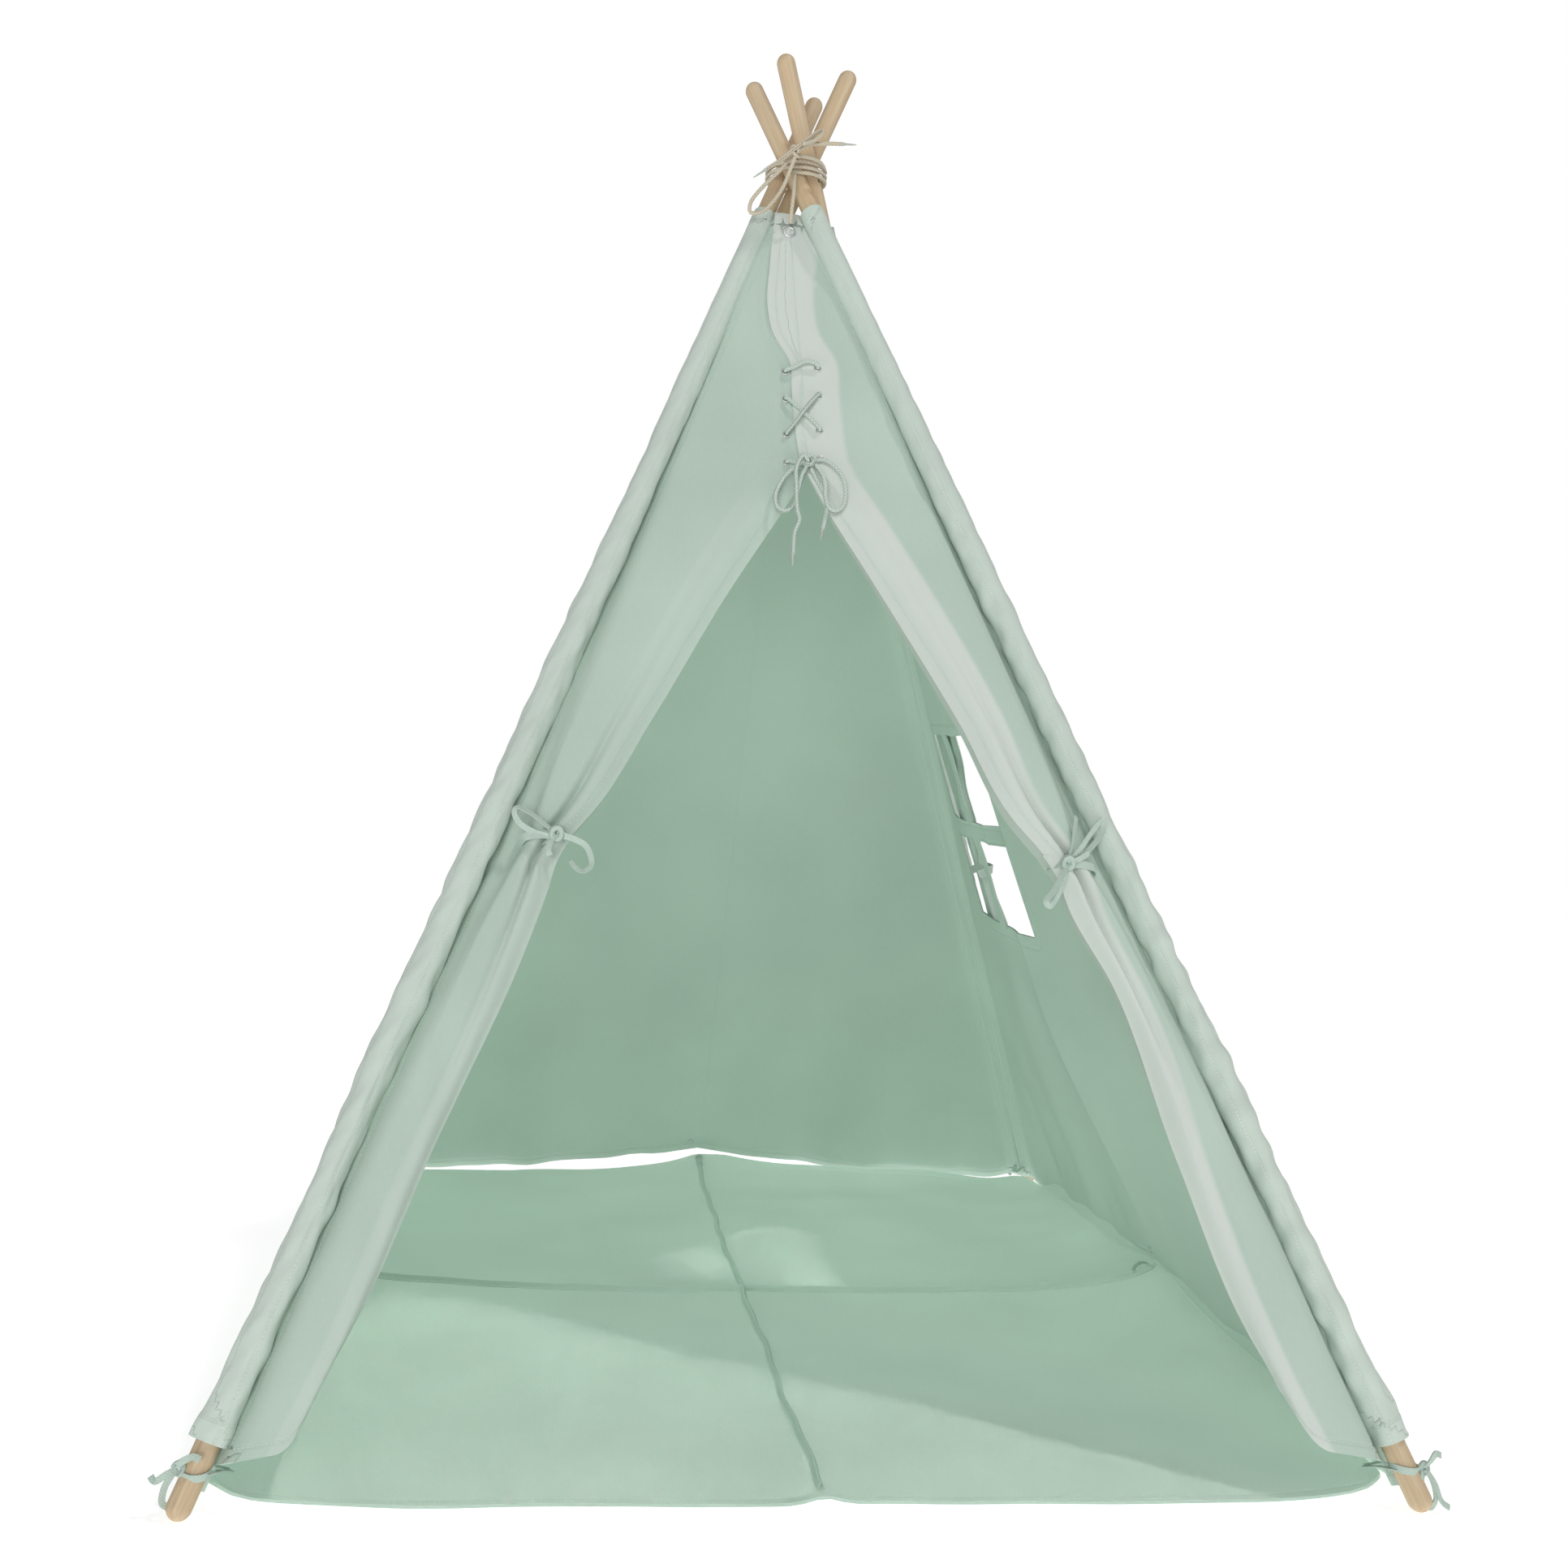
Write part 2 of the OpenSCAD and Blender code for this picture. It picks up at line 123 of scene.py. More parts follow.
def curve_through(places, x):
    """A smooth line through a few (x, y) places, read at x."""
    xs = np.array([p[0] for p in places], float)
    ys = np.array([p[1] for p in places], float)
    slopes = np.gradient(ys, xs)
    x = np.clip(x, xs[0], xs[-1])
    i = np.clip(np.searchsorted(xs, x) - 1, 0, len(xs) - 2)
    w = xs[i + 1] - xs[i]
    t = (x - xs[i]) / w
    return (
        (2 * t**3 - 3 * t**2 + 1) * ys[i] + (t**3 - 2 * t**2 + t) * w * slopes[i]
        + (3 * t**2 - 2 * t**3) * ys[i + 1] + (t**3 - t**2) * w * slopes[i + 1]
    )


def ripple(points, wavelength, seed, waves=9):
    """An even random swell of about -1 to 1, the same on each run."""
    rng = np.random.default_rng(seed)
    total = np.zeros(points.shape[:-1])
    for _ in range(waves):
        way = rng.normal(size=3)
        way /= np.linalg.norm(way)
        size = wavelength * rng.uniform(0.6, 1.6)
        total += np.sin(2 * math.pi * (points @ way) / size + rng.uniform(0, 2 * math.pi))
    return total / math.sqrt(waves)


# Wall places are (distance along the wall, height), seen from outside, as in the CAD model.

def share_up(h):
    return (h - POLE_R) / rise


def pole_x(h, side):
    return side * half_gap + share_up(h) * (crossing[0] - side * half_gap)


def middle_x(h):
    return share_up(h) * crossing[0]


def on_wall(wall, x, h, out=0.0):
    """The point at x along a wall and height h, moved out of the wall's plane."""
    x, h, out = np.broadcast_arrays(*(np.asarray(v, float) for v in (x, h, out)))
    y = -half_gap + (h - POLE_R) * math.tan(slope) - out * math.cos(slope)
    return quarter_turned(np.stack([x, y, h + out * math.sin(slope)], -1), wall)


def pinwheel(x, h):
    """The walls twist a little with height, because each pole passes beside the middle line."""
    share_across = np.clip(x / np.maximum(pole_x(h, SECOND), 1e-4), -1, 1)
    return crossing[1] * share_up(h) * math.cos(slope) * share_across


def pole_frame(corner):
    """A matrix whose Z goes up a pole from its foot and whose -X points away from the tent."""
    z = Vector(quarter_turned(up_pole, corner))
    outward = Vector(quarter_turned(np.array([-1.0, -1.0, 0.0]), corner))
    x = -(outward - outward.dot(z) * z).normalized()
    y = z.cross(x)
    m = Matrix((x, y, z)).transposed().to_4x4()
    m.translation = Vector(quarter_turned(foot, corner))
    return m


# ---- Camera and light ----------------------------------------------------------------------------

def look(yaw, pitch, roll):
    """A camera rotation: yaw to the right of +Y, pitch up, and roll, in radians."""
    ahead = Vector((math.sin(yaw) * math.cos(pitch), math.cos(yaw) * math.cos(pitch), math.sin(pitch)))
    level = Vector((math.cos(yaw), -math.sin(yaw), 0))
    above = level.cross(ahead)
    right = level * math.cos(roll) + above * math.sin(roll)
    up = above * math.cos(roll) - level * math.sin(roll)
    return Matrix((right, up, -ahead)).transposed().to_4x4()


CAMERA_PLACE = (-0.310, -2.005, 0.700)
CAMERA_TURN = (0.112, -0.008, 0.048)
LENS_MM = 34.57
LENS_SHIFT = (0.051, 0.002)


def make_camera():
    camera = bpy.data.objects.new("camera", bpy.data.cameras.new("camera"))
    bpy.context.scene.collection.objects.link(camera)
    camera.matrix_world = Matrix.Translation(CAMERA_PLACE) @ look(*CAMERA_TURN)
    camera.data.sensor_width = 36
    camera.data.lens = LENS_MM
    camera.data.shift_x, camera.data.shift_y = LENS_SHIFT
    bpy.context.scene.camera = camera


def add_sun(name, place, target, strength, degrees):
    """A sun that shines from the place towards the target, and looks so many degrees wide."""
    light = bpy.data.objects.new(name, bpy.data.lights.new(name, "SUN"))
    bpy.context.scene.collection.objects.link(light)
    light.location = place
    light.rotation_euler = (Vector(target) - Vector(place)).to_track_quat("-Z", "Y").to_euler()
    light.data.energy = strength
    light.data.angle = math.radians(degrees)
    return light


AMBIENT = 0.26
WARM_WHITE = (1.0, 0.985, 0.96)
ORIGIN = (0, 0, 0)
WALL_NAMES = ("cloth_left", "cloth_back", "cloth_right", "cloth_sleeve_b")


def light_only(light, names):
    """Makes a light reach only the named pieces. The camera alone could shade them, so nothing does."""
    reached = bpy.data.collections.new(light.name + "_reaches")
    shading = bpy.data.collections.new(light.name + "_shaded_by")
    for name in names:
        reached.objects.link(bpy.data.objects[name])
    shading.objects.link(bpy.data.objects["camera"])
    light.light_linking.receiver_collection = reached
    light.light_linking.blocker_collection = shading


def light_all_but(light, names):
    """Makes a light pass over the named pieces."""
    passed = bpy.data.collections.new(light.name + "_passes_over")
    for name in names:
        passed.objects.link(bpy.data.objects[name])
    for entry in passed.collection_objects:
        entry.light_linking.link_state = "EXCLUDE"
    light.light_linking.receiver_collection = passed


def make_light():
    """A weak high key from the front right, and a broad fill along the view that passes over the walls.
    Suns of their own light the mat and the walls, for the daylight that comes through the canvas."""
    add_sun("key", (0.9, -0.34, 2.0), ORIGIN, 0.75, 4).data.color = WARM_WHITE
    fill = add_sun("fill", (-0.60, -2.0, 0.98), (0, 0, 0.72), 1.22, 30)
    mat_fill = add_sun("mat_fill", (0, 0, 3), ORIGIN, 1.2, 40)
    low_fill = add_sun("low_fill", (0, -0.3, -3), ORIGIN, 1.0, 40)
    back_fill = add_sun("back_fill", (-0.15, -1, -1), ORIGIN, 0.82, 40)
    left_fill = add_sun("left_fill", (3, -0.3, -1), ORIGIN, 0.6, 40)
    walls = [name for name in bpy.data.objects.keys() if name.startswith(WALL_NAMES)]
    light_all_but(fill, walls)
    light_only(mat_fill, ("cloth_mat", "cloth_mat_seams"))
    light_only(low_fill, walls)
    light_only(back_fill, walls)
    light_only(left_fill, [name for name in walls if name.startswith("cloth_left")])


def make_world():
    """An even studio backdrop that looks white and lights the tent a little."""
    world = bpy.data.worlds.new("studio")
    bpy.context.scene.world = world
    world.use_nodes = True
    tree = world.node_tree
    seen = put(tree, "ShaderNodeLightPath", {}).outputs["Is Camera Ray"]
    background = tree.nodes["Background"]
    background.inputs["Color"].default_value = (1, 1, 1, 1)
    tree.links.new(ramp_of(tree, seen, 0.0, 1.0, AMBIENT, 1.0), background.inputs["Strength"])
    bpy.context.scene.view_settings.view_transform = "Standard"


make_camera()

# ---- Materials -----------------------------------------------------------------------------------

def linear(r, g, b):
    """A colour given as 0 to 255 sRGB."""
    def one(c):
        c /= 255
        return c / 12.92 if c <= 0.04045 else ((c + 0.055) / 1.055) ** 2.4
    return (one(r), one(g), one(b), 1.0)


def put(tree, kind, inputs, **settings):
    """Adds a node, sets it up, and links or sets its inputs by name or number."""
    node = tree.nodes.new(kind)
    for key, value in settings.items():
        setattr(node, key, value)
    for key, value in inputs.items():
        if isinstance(value, bpy.types.NodeSocket):
            tree.links.new(value, node.inputs[key])
        else:
            node.inputs[key].default_value = value
    return node


def math_node(tree, operation, *values):
    return put(tree, "ShaderNodeMath", dict(enumerate(values)), operation=operation).outputs[0]


def mix_colour(tree, factor, a, b):
    return put(tree, "ShaderNodeMix", {0: factor, 6: a, 7: b}, data_type="RGBA").outputs[2]


def toned(colour, factor):
    """A colour made lighter or darker."""
    return tuple(min(1.0, factor * c) for c in colour[:3]) + (1.0,)


def coordinate(tree, kind):
    return put(tree, "ShaderNodeTexCoord", {}).outputs[kind]


def painted(tree, name):
    return put(tree, "ShaderNodeAttribute", {}, attribute_name=name).outputs["Fac"]


def crossed_bands(tree, uv, width):
    """Diagonal bands that cross both ways over a tape or round a cord."""
    bands = [
        put(tree, "ShaderNodeTexWave", {"Vector": scaled(tree, uv, (1, way, 1)), "Scale": BANDS / width},
            bands_direction="DIAGONAL").outputs[1]
        for way in (-1, 1)
    ]
    return math_node(tree, "MAXIMUM", *bands)


def scaled(tree, vector, scale):
    return put(tree, "ShaderNodeMapping", {"Vector": vector, "Scale": scale}).outputs[0]


def noise_of(tree, vector, scale, detail=3.0, roughness=0.55):
    inputs = {"Vector": vector, "Scale": scale, "Detail": detail, "Roughness": roughness}
    return put(tree, "ShaderNodeTexNoise", inputs).outputs[0]


def ramp_of(tree, factor, *stops):
    """Maps a value from one range to another: (from low, from high, to low, to high)."""
    low, high, to_low, to_high = stops
    inputs = {"Value": factor, "From Min": low, "From Max": high, "To Min": to_low, "To Max": to_high}
    return put(tree, "ShaderNodeMapRange", inputs).outputs[0]


def start_material(name, roughness, **sockets):
    material = bpy.data.materials.new(name)
    material.use_nodes = True
    shader = material.node_tree.nodes["Principled BSDF"]
    shader.inputs["Roughness"].default_value = roughness
    for key, value in sockets.items():
        shader.inputs[key.replace("_", " ")].default_value = value
    return material, material.node_tree, shader


def bump_to(tree, shader, *layers):
    """Stacks bumps of (height, distance) and ends in the shader's normal."""
    normal = None
    for height, distance in layers:
        inputs = {"Height": height, "Distance": distance, "Strength": 1.0}
        if normal is not None:
            inputs["Normal"] = normal
        normal = put(tree, "ShaderNodeBump", inputs).outputs[0]
    tree.links.new(normal, shader.inputs["Normal"])


# Paler colour painted on the doubled canvas along the door edges: painted light, as if less daylight shone
# through the double layer.
FACING_PAINTED_LIGHT = linear(216, 222, 216)
WEAVE = 1.1 * MM
STITCH = 2 * MM
# A wave texture with this scale has one band to a metre along X or Y.
BANDS = 2 * math.pi / 20


def stitch_layers(tree):
    """The thread of the rows of stitches, and the groove that they pull into the cloth."""
    from_row = math_node(tree, "ABSOLUTE", painted(tree, "stitch_across"))
    row = ramp_of(tree, from_row, 0.3 * MM, 0.9 * MM, 1.0, 0.0)
    along = math_node(tree, "PINGPONG", painted(tree, "stitch_along"), STITCH)
    dashes = math_node(tree, "GREATER_THAN", along, 0.35 * STITCH)
    thread = math_node(tree, "MULTIPLY", row, dashes)
    groove = ramp_of(tree, from_row, 0.0, 3.0 * MM, 0.0, 1.0)
    return thread, groove


def canvas_material(name, colour, seed):
    """Plain-weave cotton canvas with slubs, soft creases and rows of stitches, with painted shade and
    painted light.
    """
    material, tree, shader = start_material(
        name, 0.92, Sheen_Weight=0.12, Sheen_Roughness=0.6, Specular_IOR_Level=0.2)
    shift = (seed, 0.37 * seed, 0)
    place = put(tree, "ShaderNodeMapping", {"Vector": coordinate(tree, "UV"), "Location": shift}).outputs[0]
    threads = [
        put(tree, "ShaderNodeTexWave",
            {"Vector": place, "Scale": BANDS / WEAVE, "Distortion": 0.6, "Detail": 1, "Detail Scale": 2},
            bands_direction=way).outputs[1]
        for way in ("X", "Y")
    ]
    weave = math_node(tree, "ADD", *threads)
    slubs = noise_of(tree, scaled(tree, place, (900, 90, 1)), 1.0, 2.0)
    tone = noise_of(tree, place, 3.5, 2.0)
    creases = noise_of(tree, scaled(tree, place, (14, 9, 1)), 1.0, 4.0, 0.6)
    thread, groove = stitch_layers(tree)
    pale, deep = toned(colour, 1.12), toned(colour, 0.90)
    base = mix_colour(tree, ramp_of(tree, tone, 0.3, 0.7, 0.0, 1.0), deep, colour)
    flecked = mix_colour(tree, ramp_of(tree, slubs, 0.55, 0.8, 0.0, 0.35), base, pale)
    # Painted shade: the canvas is painted darker in the grooves that the stitches pull in.
    groove_shade = mix_colour(tree, ramp_of(tree, groove, 0.0, 1.0, 0.35, 0.0), flecked, deep)
    # Painted light: the doubled band along the door edges is painted paler, as if less daylight shone
    # through it.
    painted_light_amount = math_node(tree, "MULTIPLY", painted(tree, "facing"), 0.8)
    with_facing_light = mix_colour(tree, painted_light_amount, groove_shade, FACING_PAINTED_LIGHT)
    sewn = mix_colour(tree, thread, with_facing_light, pale)
    tree.links.new(sewn, shader.inputs["Base Color"])
    bump_to(
        tree, shader,
        (creases, 1.6 * MM), (groove, 0.5 * MM), (thread, 0.4 * MM),
        (math_node(tree, "ADD", weave, slubs), 0.07 * MM))
    return material


def tape_material(name, colour):
    """Narrow herringbone tape."""
    material, tree, shader = start_material(name, 0.9, Sheen_Weight=0.1, Specular_IOR_Level=0.2)
    uv = coordinate(tree, "UV")
    height = crossed_bands(tree, uv, 1.6 * MM)
    tone = noise_of(tree, uv, 60.0)
    shade = ramp_of(tree, math_node(tree, "MULTIPLY", height, tone), 0.05, 0.6, 0.0, 1.0)
    tree.links.new(mix_colour(tree, shade, toned(colour, 0.82), colour), shader.inputs["Base Color"])
    bump_to(tree, shader, (height, 0.25 * MM), (tone, 0.3 * MM))
    return material


def cord_material(name, colour):
    """A round braid: strands crossing both ways round the cord."""
    material, tree, shader = start_material(name, 0.88, Sheen_Weight=0.15, Specular_IOR_Level=0.2)
    uv = coordinate(tree, "UV")
    braid = crossed_bands(tree, uv, 2.4 * MM)
    fuzz = noise_of(tree, scaled(tree, uv, (600, 250, 1)), 1.0)
    rough = math_node(tree, "ADD", braid, math_node(tree, "MULTIPLY", fuzz, 0.4))
    shade = ramp_of(tree, rough, 0.3, 1.2, 0.0, 1.0)
    tree.links.new(mix_colour(tree, shade, toned(colour, 0.70), colour), shader.inputs["Base Color"])
    bump_to(tree, shader, (braid, 0.45 * MM), (fuzz, 0.15 * MM))
    return material


def wood_material(name, corner):
    """Pale sanded hardwood with its grain along one pole."""
    material, tree, shader = start_material(name, 0.55, Specular_IOR_Level=0.35)
    place = coordinate(tree, "Object")
    turn = pole_frame(corner).to_3x3().transposed().to_euler()
    local = put(tree, "ShaderNodeMapping", {"Vector": place, "Rotation": tuple(turn)}).outputs[0]
    long_grain = noise_of(tree, scaled(tree, local, (160, 160, 5)), 1.0, 6.0, 0.6)
    rings = noise_of(tree, scaled(tree, local, (45, 45, 1.6)), 1.0, 3.0)
    pores = noise_of(tree, scaled(tree, local, (1400, 1400, 45)), 1.0, 2.0)
    patches = noise_of(tree, local, 5.0, 2.0)
    light, dark = linear(216, 198, 168), linear(184, 158, 124)
    base = mix_colour(tree, ramp_of(tree, long_grain, 0.35, 0.7, 0.0, 0.8), light, dark)
    ringed = mix_colour(tree, ramp_of(tree, rings, 0.45, 0.7, 0.0, 0.45), base, dark)
    warm = mix_colour(tree, ramp_of(tree, patches, 0.4, 0.7, 0.0, 0.3), ringed, linear(206, 172, 134))
    pored = mix_colour(tree, ramp_of(tree, pores, 0.6, 0.75, 0.0, 0.35), warm, linear(142, 114, 86))
    tree.links.new(pored, shader.inputs["Base Color"])
    tree.links.new(ramp_of(tree, long_grain, 0.3, 0.7, 0.48, 0.64), shader.inputs["Roughness"])
    bump_to(tree, shader, (long_grain, 0.15 * MM), (pores, 0.08 * MM))
    return material


def metal_material(name, colour, roughness):
    """Bright pressed metal with fine scuffs."""
    material, tree, shader = start_material(name, roughness, Metallic=0.6)
    place = coordinate(tree, "Object")
    scuffs = noise_of(tree, place, 900.0, 4.0)
    broad = ramp_of(tree, noise_of(tree, place, 90.0, 2.0), 0.3, 0.7, 0.0, 1.0)
    tree.links.new(mix_colour(tree, broad, toned(colour, 0.75), colour), shader.inputs["Base Color"])
    worn = ramp_of(tree, scuffs, 0.3, 0.7, roughness - 0.08, roughness + 0.14)
    tree.links.new(worn, shader.inputs["Roughness"])
    bump_to(tree, shader, (scuffs, 0.03 * MM))
    return material


canvas = canvas_material("canvas", linear(190, 210, 197), 1.0)
# Painted light: the sleeves' canvas is painted paler than the walls', as if more light fell on the sleeves.
sleeve_canvas_painted_light = canvas_material("sleeve_canvas_painted_light", linear(207, 221, 211), 2.3)
mat_canvas = canvas_material("mat_canvas", linear(188, 211, 196), 3.1)
# Painted shade: the mat's seam ridges are painted darker, for the shade in the folds beside them.
shaded_seam_canvas = canvas_material("shaded_seam_canvas", linear(174, 199, 183), 4.7)
tape = tape_material("tape", linear(196, 214, 203))
mint_cord = cord_material("mint_cord", linear(206, 220, 210))
beige_cord = cord_material("beige_cord", linear(216, 206, 184))
nickel = metal_material("nickel", (0.78, 0.79, 0.80, 1.0), 0.26)
aluminium = metal_material("aluminium", (0.72, 0.73, 0.74, 1.0), 0.38)
aglet_wrap = cord_material("aglet_wrap", linear(200, 206, 196))

# ---- Meshes --------------------------------------------------------------------------------------

def new_object(name, verts, faces, material, uvs=None, sharp_angle=math.radians(55)):
    mesh = bpy.data.meshes.new(name)
    mesh.from_pydata([tuple(v) for v in verts], [], faces)
    mesh.polygons.foreach_set("use_smooth", [True] * len(mesh.polygons))
    if uvs is not None:
        layer = mesh.uv_layers.new(name="UVMap")
        corners = np.empty(len(mesh.loops), int)
        mesh.loops.foreach_get("vertex_index", corners)
        layer.data.foreach_set("uv", np.asarray(uvs, np.float32)[corners].ravel())
    mesh.set_sharp_from_angle(angle=sharp_angle)
    mesh.materials.append(material)
    obj = bpy.data.objects.new(name, mesh)
    bpy.context.scene.collection.objects.link(obj)
    return obj


def set_attribute(obj, name, values):
    attribute = obj.data.attributes.new(name, "FLOAT", "POINT")
    attribute.data.foreach_set("value", np.asarray(values, np.float32).ravel())


def grid_normals(points, wrap):
    if wrap:
        padded = np.concatenate([points[:, -1:], points, points[:, :1]], 1)
        across = (padded[:, 2:] - padded[:, :-2]) / 2
    else:
        across = np.gradient(points, axis=1)
    normals = np.cross(across, np.gradient(points, axis=0))
    return normals / np.maximum(np.linalg.norm(normals, axis=-1, keepdims=True), 1e-12)


def sheet_faces(rows, cols, wrap, holes):
    """The faces of a grid's two sides and of all its edges. The second side's points follow the first's."""
    under = rows * cols
    last = cols if wrap else cols - 1
    kept = np.ones((rows - 1, last), bool) if holes is None else ~holes
    faces = []
    for r in range(rows - 1):
        for c in range(last):
            if not kept[r, c]:
                continue
            d = (c + 1) % cols
            a, b, e, f = r * cols + c, r * cols + d, (r + 1) * cols + d, (r + 1) * cols + c
            faces.append((a, b, e, f))
            faces.append((under + f, under + e, under + b, under + a))
            if r == 0 or not kept[r - 1, c]:
                faces.append((b, a, under + a, under + b))
            if r == rows - 2 or not kept[r + 1, c]:
                faces.append((f, e, under + e, under + f))
            if not wrap and (c == 0 or not kept[r, c - 1]):
                faces.append((a, f, under + f, under + a))
            if not wrap and (c == last - 1 or not kept[r, c + 1]):
                faces.append((e, b, under + b, under + e))
    return faces


def nearest_stitches(stitches, shape):
    """Distances across and along the row of stitches that is nearest to each point."""
    if not stitches:
        return np.ones(shape), np.zeros(shape)
    all_across = np.stack([np.broadcast_to(across, shape) for across, _ in stitches])
    all_along = np.stack([np.broadcast_to(along, shape) for _, along in stitches])
    nearest = np.abs(all_across).argmin(0)[None]
    return [np.take_along_axis(values, nearest, 0)[0] for values in (all_across, all_along)]


def shell(name, points, material, thickness=CLOTH_T, uv=None, wrap=False, holes=None, stitches=()):
    """A sheet of cloth with two faces and closed edges, from a grid of points on its middle surface.
    holes marks the cells that are cut out. stitches are (across, along) distances to rows of stitches."""
    rows, cols = points.shape[:2]
    offset = grid_normals(points, wrap) * (np.broadcast_to(thickness, (rows, cols)) / 2)[..., None]
    verts = np.concatenate([(points + offset).reshape(-1, 3), (points - offset).reshape(-1, 3)])
    uvs = None if uv is None else np.concatenate([uv.reshape(-1, 2)] * 2)
    obj = new_object(name, verts, sheet_faces(rows, cols, wrap, holes), material, uvs)
    across, along = nearest_stitches(stitches, (rows, cols))
    set_attribute(obj, "stitch_across", np.concatenate([across.ravel()] * 2))
    set_attribute(obj, "stitch_along", np.concatenate([along.ravel()] * 2))
    remove_loose(obj)
    return obj


def remove_loose(obj):
    """Drops the grid points that no face uses, such as those inside a window."""
    used = np.zeros(len(obj.data.vertices), bool)
    corners = np.empty(len(obj.data.loops), int)
    obj.data.loops.foreach_get("vertex_index", corners)
    used[corners] = True
    if used.all():
        return
    mesh = bmesh.new()
    mesh.from_mesh(obj.data)
    mesh.verts.ensure_lookup_table()
    bmesh.ops.delete(mesh, geom=[v for v in mesh.verts if not used[v.index]], context="VERTS")
    mesh.to_mesh(obj.data)
    mesh.free()


def spline(points, steps):
    """A smooth line through the points, with so many steps to a span."""
    p = np.asarray(points, float)
    p = np.concatenate([p[:1], p, p[-1:]])
    out = []
    for i in range(1, len(p) - 2):
        a, b, c, d = p[i - 1:i + 3]
        for t in np.arange(steps) / steps:
            squared, cubed = (2 * a - 5 * b + 4 * c - d) * t**2, (3 * b - a - 3 * c + d) * t**3
            out.append(0.5 * (2 * b + (c - a) * t + squared + cubed))
    out.append(p[-2])
    return np.array(out)


def path_frames(path, start=(0.3, 0.2, 1.0)):
    """Two unit vectors square to the path at each point, carried along without twist."""
    tangents = np.gradient(path, axis=0)
    tangents /= np.linalg.norm(tangents, axis=1, keepdims=True)
    side = np.array(start, float)
    sides = []
    for t in tangents:
        side = side - (side @ t) * t
        side = side / np.linalg.norm(side)
        sides.append(side)
    sides = np.array(sides)
    return tangents, sides, np.cross(tangents, sides)


def lengths_along(path):
    steps = np.linalg.norm(np.diff(path, axis=0), axis=1)
    return np.concatenate([[0], np.cumsum(steps)])


def tube(name, path, radius, material, sides=12, start=(0.3, 0.2, 1.0), round_ends=True):
    """A closed tube along a path. radius is one number or one for each point."""
    path = np.asarray(path, float)
    radii = np.broadcast_to(radius, (len(path),)).astype(float)
    tangents, a, b = path_frames(path, start)
    if round_ends:
        cap = [(-0.85, 0.45), (-0.5, 0.82)]
        head = [(path[0] + tangents[0] * k * radii[0], radii[0] * r, a[0], b[0]) for k, r in cap]
        tail = [
            (path[-1] - tangents[-1] * k * radii[-1], radii[-1] * r, a[-1], b[-1])
            for k, r in reversed(cap)
        ]
    else:
        head, tail = [], []
    rings = head + list(zip(path, radii, a, b)) + tail
    along = lengths_along(np.array([r[0] for r in rings]))
    angles = np.arange(sides) * 2 * math.pi / sides
    verts, uvs, faces = [], [], []
    for (centre, r, x, y), v in zip(rings, along):
        for angle in angles:
            verts.append(centre + r * (math.cos(angle) * x + math.sin(angle) * y))
            uvs.append((angle * r, v))
    for i in range(len(rings) - 1):
        for k in range(sides):
            j = (k + 1) % sides
            faces.append((i * sides + k, i * sides + j, (i + 1) * sides + j, (i + 1) * sides + k))
    faces.append(tuple(reversed(range(sides))))
    faces.append(tuple((len(rings) - 1) * sides + k for k in range(sides)))
    return new_object(name, verts, faces, material, uvs, math.radians(80))


def ribbon(name, path, width, thickness, face, material, steps=6):
    """A flat tape along a path. face is the way that its flat side looks, one for all or one a point."""
    faces = np.broadcast_to(np.asarray(face, float), (len(path), 3))
    line, normals = spline(path, steps), spline(faces, steps)
    tangents = np.gradient(line, axis=0)
    tangents /= np.linalg.norm(tangents, axis=1, keepdims=True)
    across = np.cross(tangents, normals)
    across /= np.maximum(np.linalg.norm(across, axis=1, keepdims=True), 1e-9)
    stops = np.linspace(-0.5, 0.5, 5)
    points = line[:, None] + across[:, None] * stops[None, :, None] * width
    uv = np.stack(np.broadcast_arrays(stops[None, :] * width, lengths_along(line)[:, None]), -1)
    return shell(name, points, material, thickness, uv)


def join(name, objects):
    """Makes one piece of several."""
    first = objects[0]
    chosen = {"selected_objects": objects, "selected_editable_objects": objects}
    with bpy.context.temp_override(active_object=first, object=first, **chosen):
        bpy.ops.object.join()
    first.name = name
    return first


# ---- Folding -------------------------------------------------------------------------------------


def crumple(piece, wall, corner, body=None):
    """A piece on a wall gets a mesh of its own and hangs on the frame of the pole that it hangs from, or on
    the body given."""
    n = CORNERS[corner]
    pole = Vector(quarter_turned(up_pole, corner))
    plane = Vector(quarter_turned(np.array([0, -math.cos(slope), math.sin(slope)]), wall))
    along = pole.cross(plane).normalized()
    start = Vector(quarter_turned(foot, corner))
    middle = Vector(quarter_turned(np.array([0, foot[1], foot[2]]), wall))
    if along.dot(middle - start) < 0:
        along.negate()
    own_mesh(piece)
    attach(piece, body or "frame_" + n)


def hang_on(piece, body):
    """The lacing hangs with the front wall's right half, on its pole's frame. The lashing rides as it is.
    """
    if body == "frame_fr":
        crumple(piece, FRONT, RIGHT)
    else:
        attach(piece, body)


# ---- Cords ---------------------------------------------------------------------------------------

def laced(places):
    """Points in front of the front wall, in millimetres: along it, up from the ground, and out of it."""
    p = np.array(places, float) * MM
    return on_wall(FRONT, p[:, 0], p[:, 1], p[:, 2])


def in_metres(points):
    return np.array(points, float) * MM


def aglet(name, path, length, body):
    """The hard wrapped tip on a cord's free end."""
    way = path[-1] - path[-2]
    way = way / np.linalg.norm(way)
    start = path[-1] + way * 0.2 * CORD_D
    points = [start + way * length * k for k in (0, 0.15, 0.3, 0.65, 1.0)]
    radii = CORD_D * np.array([0.46, 0.40, 0.27, 0.24, 0.12])
    piece = tube(name, points, radii, aglet_wrap, 10)
    hang_on(piece, body)
    return piece


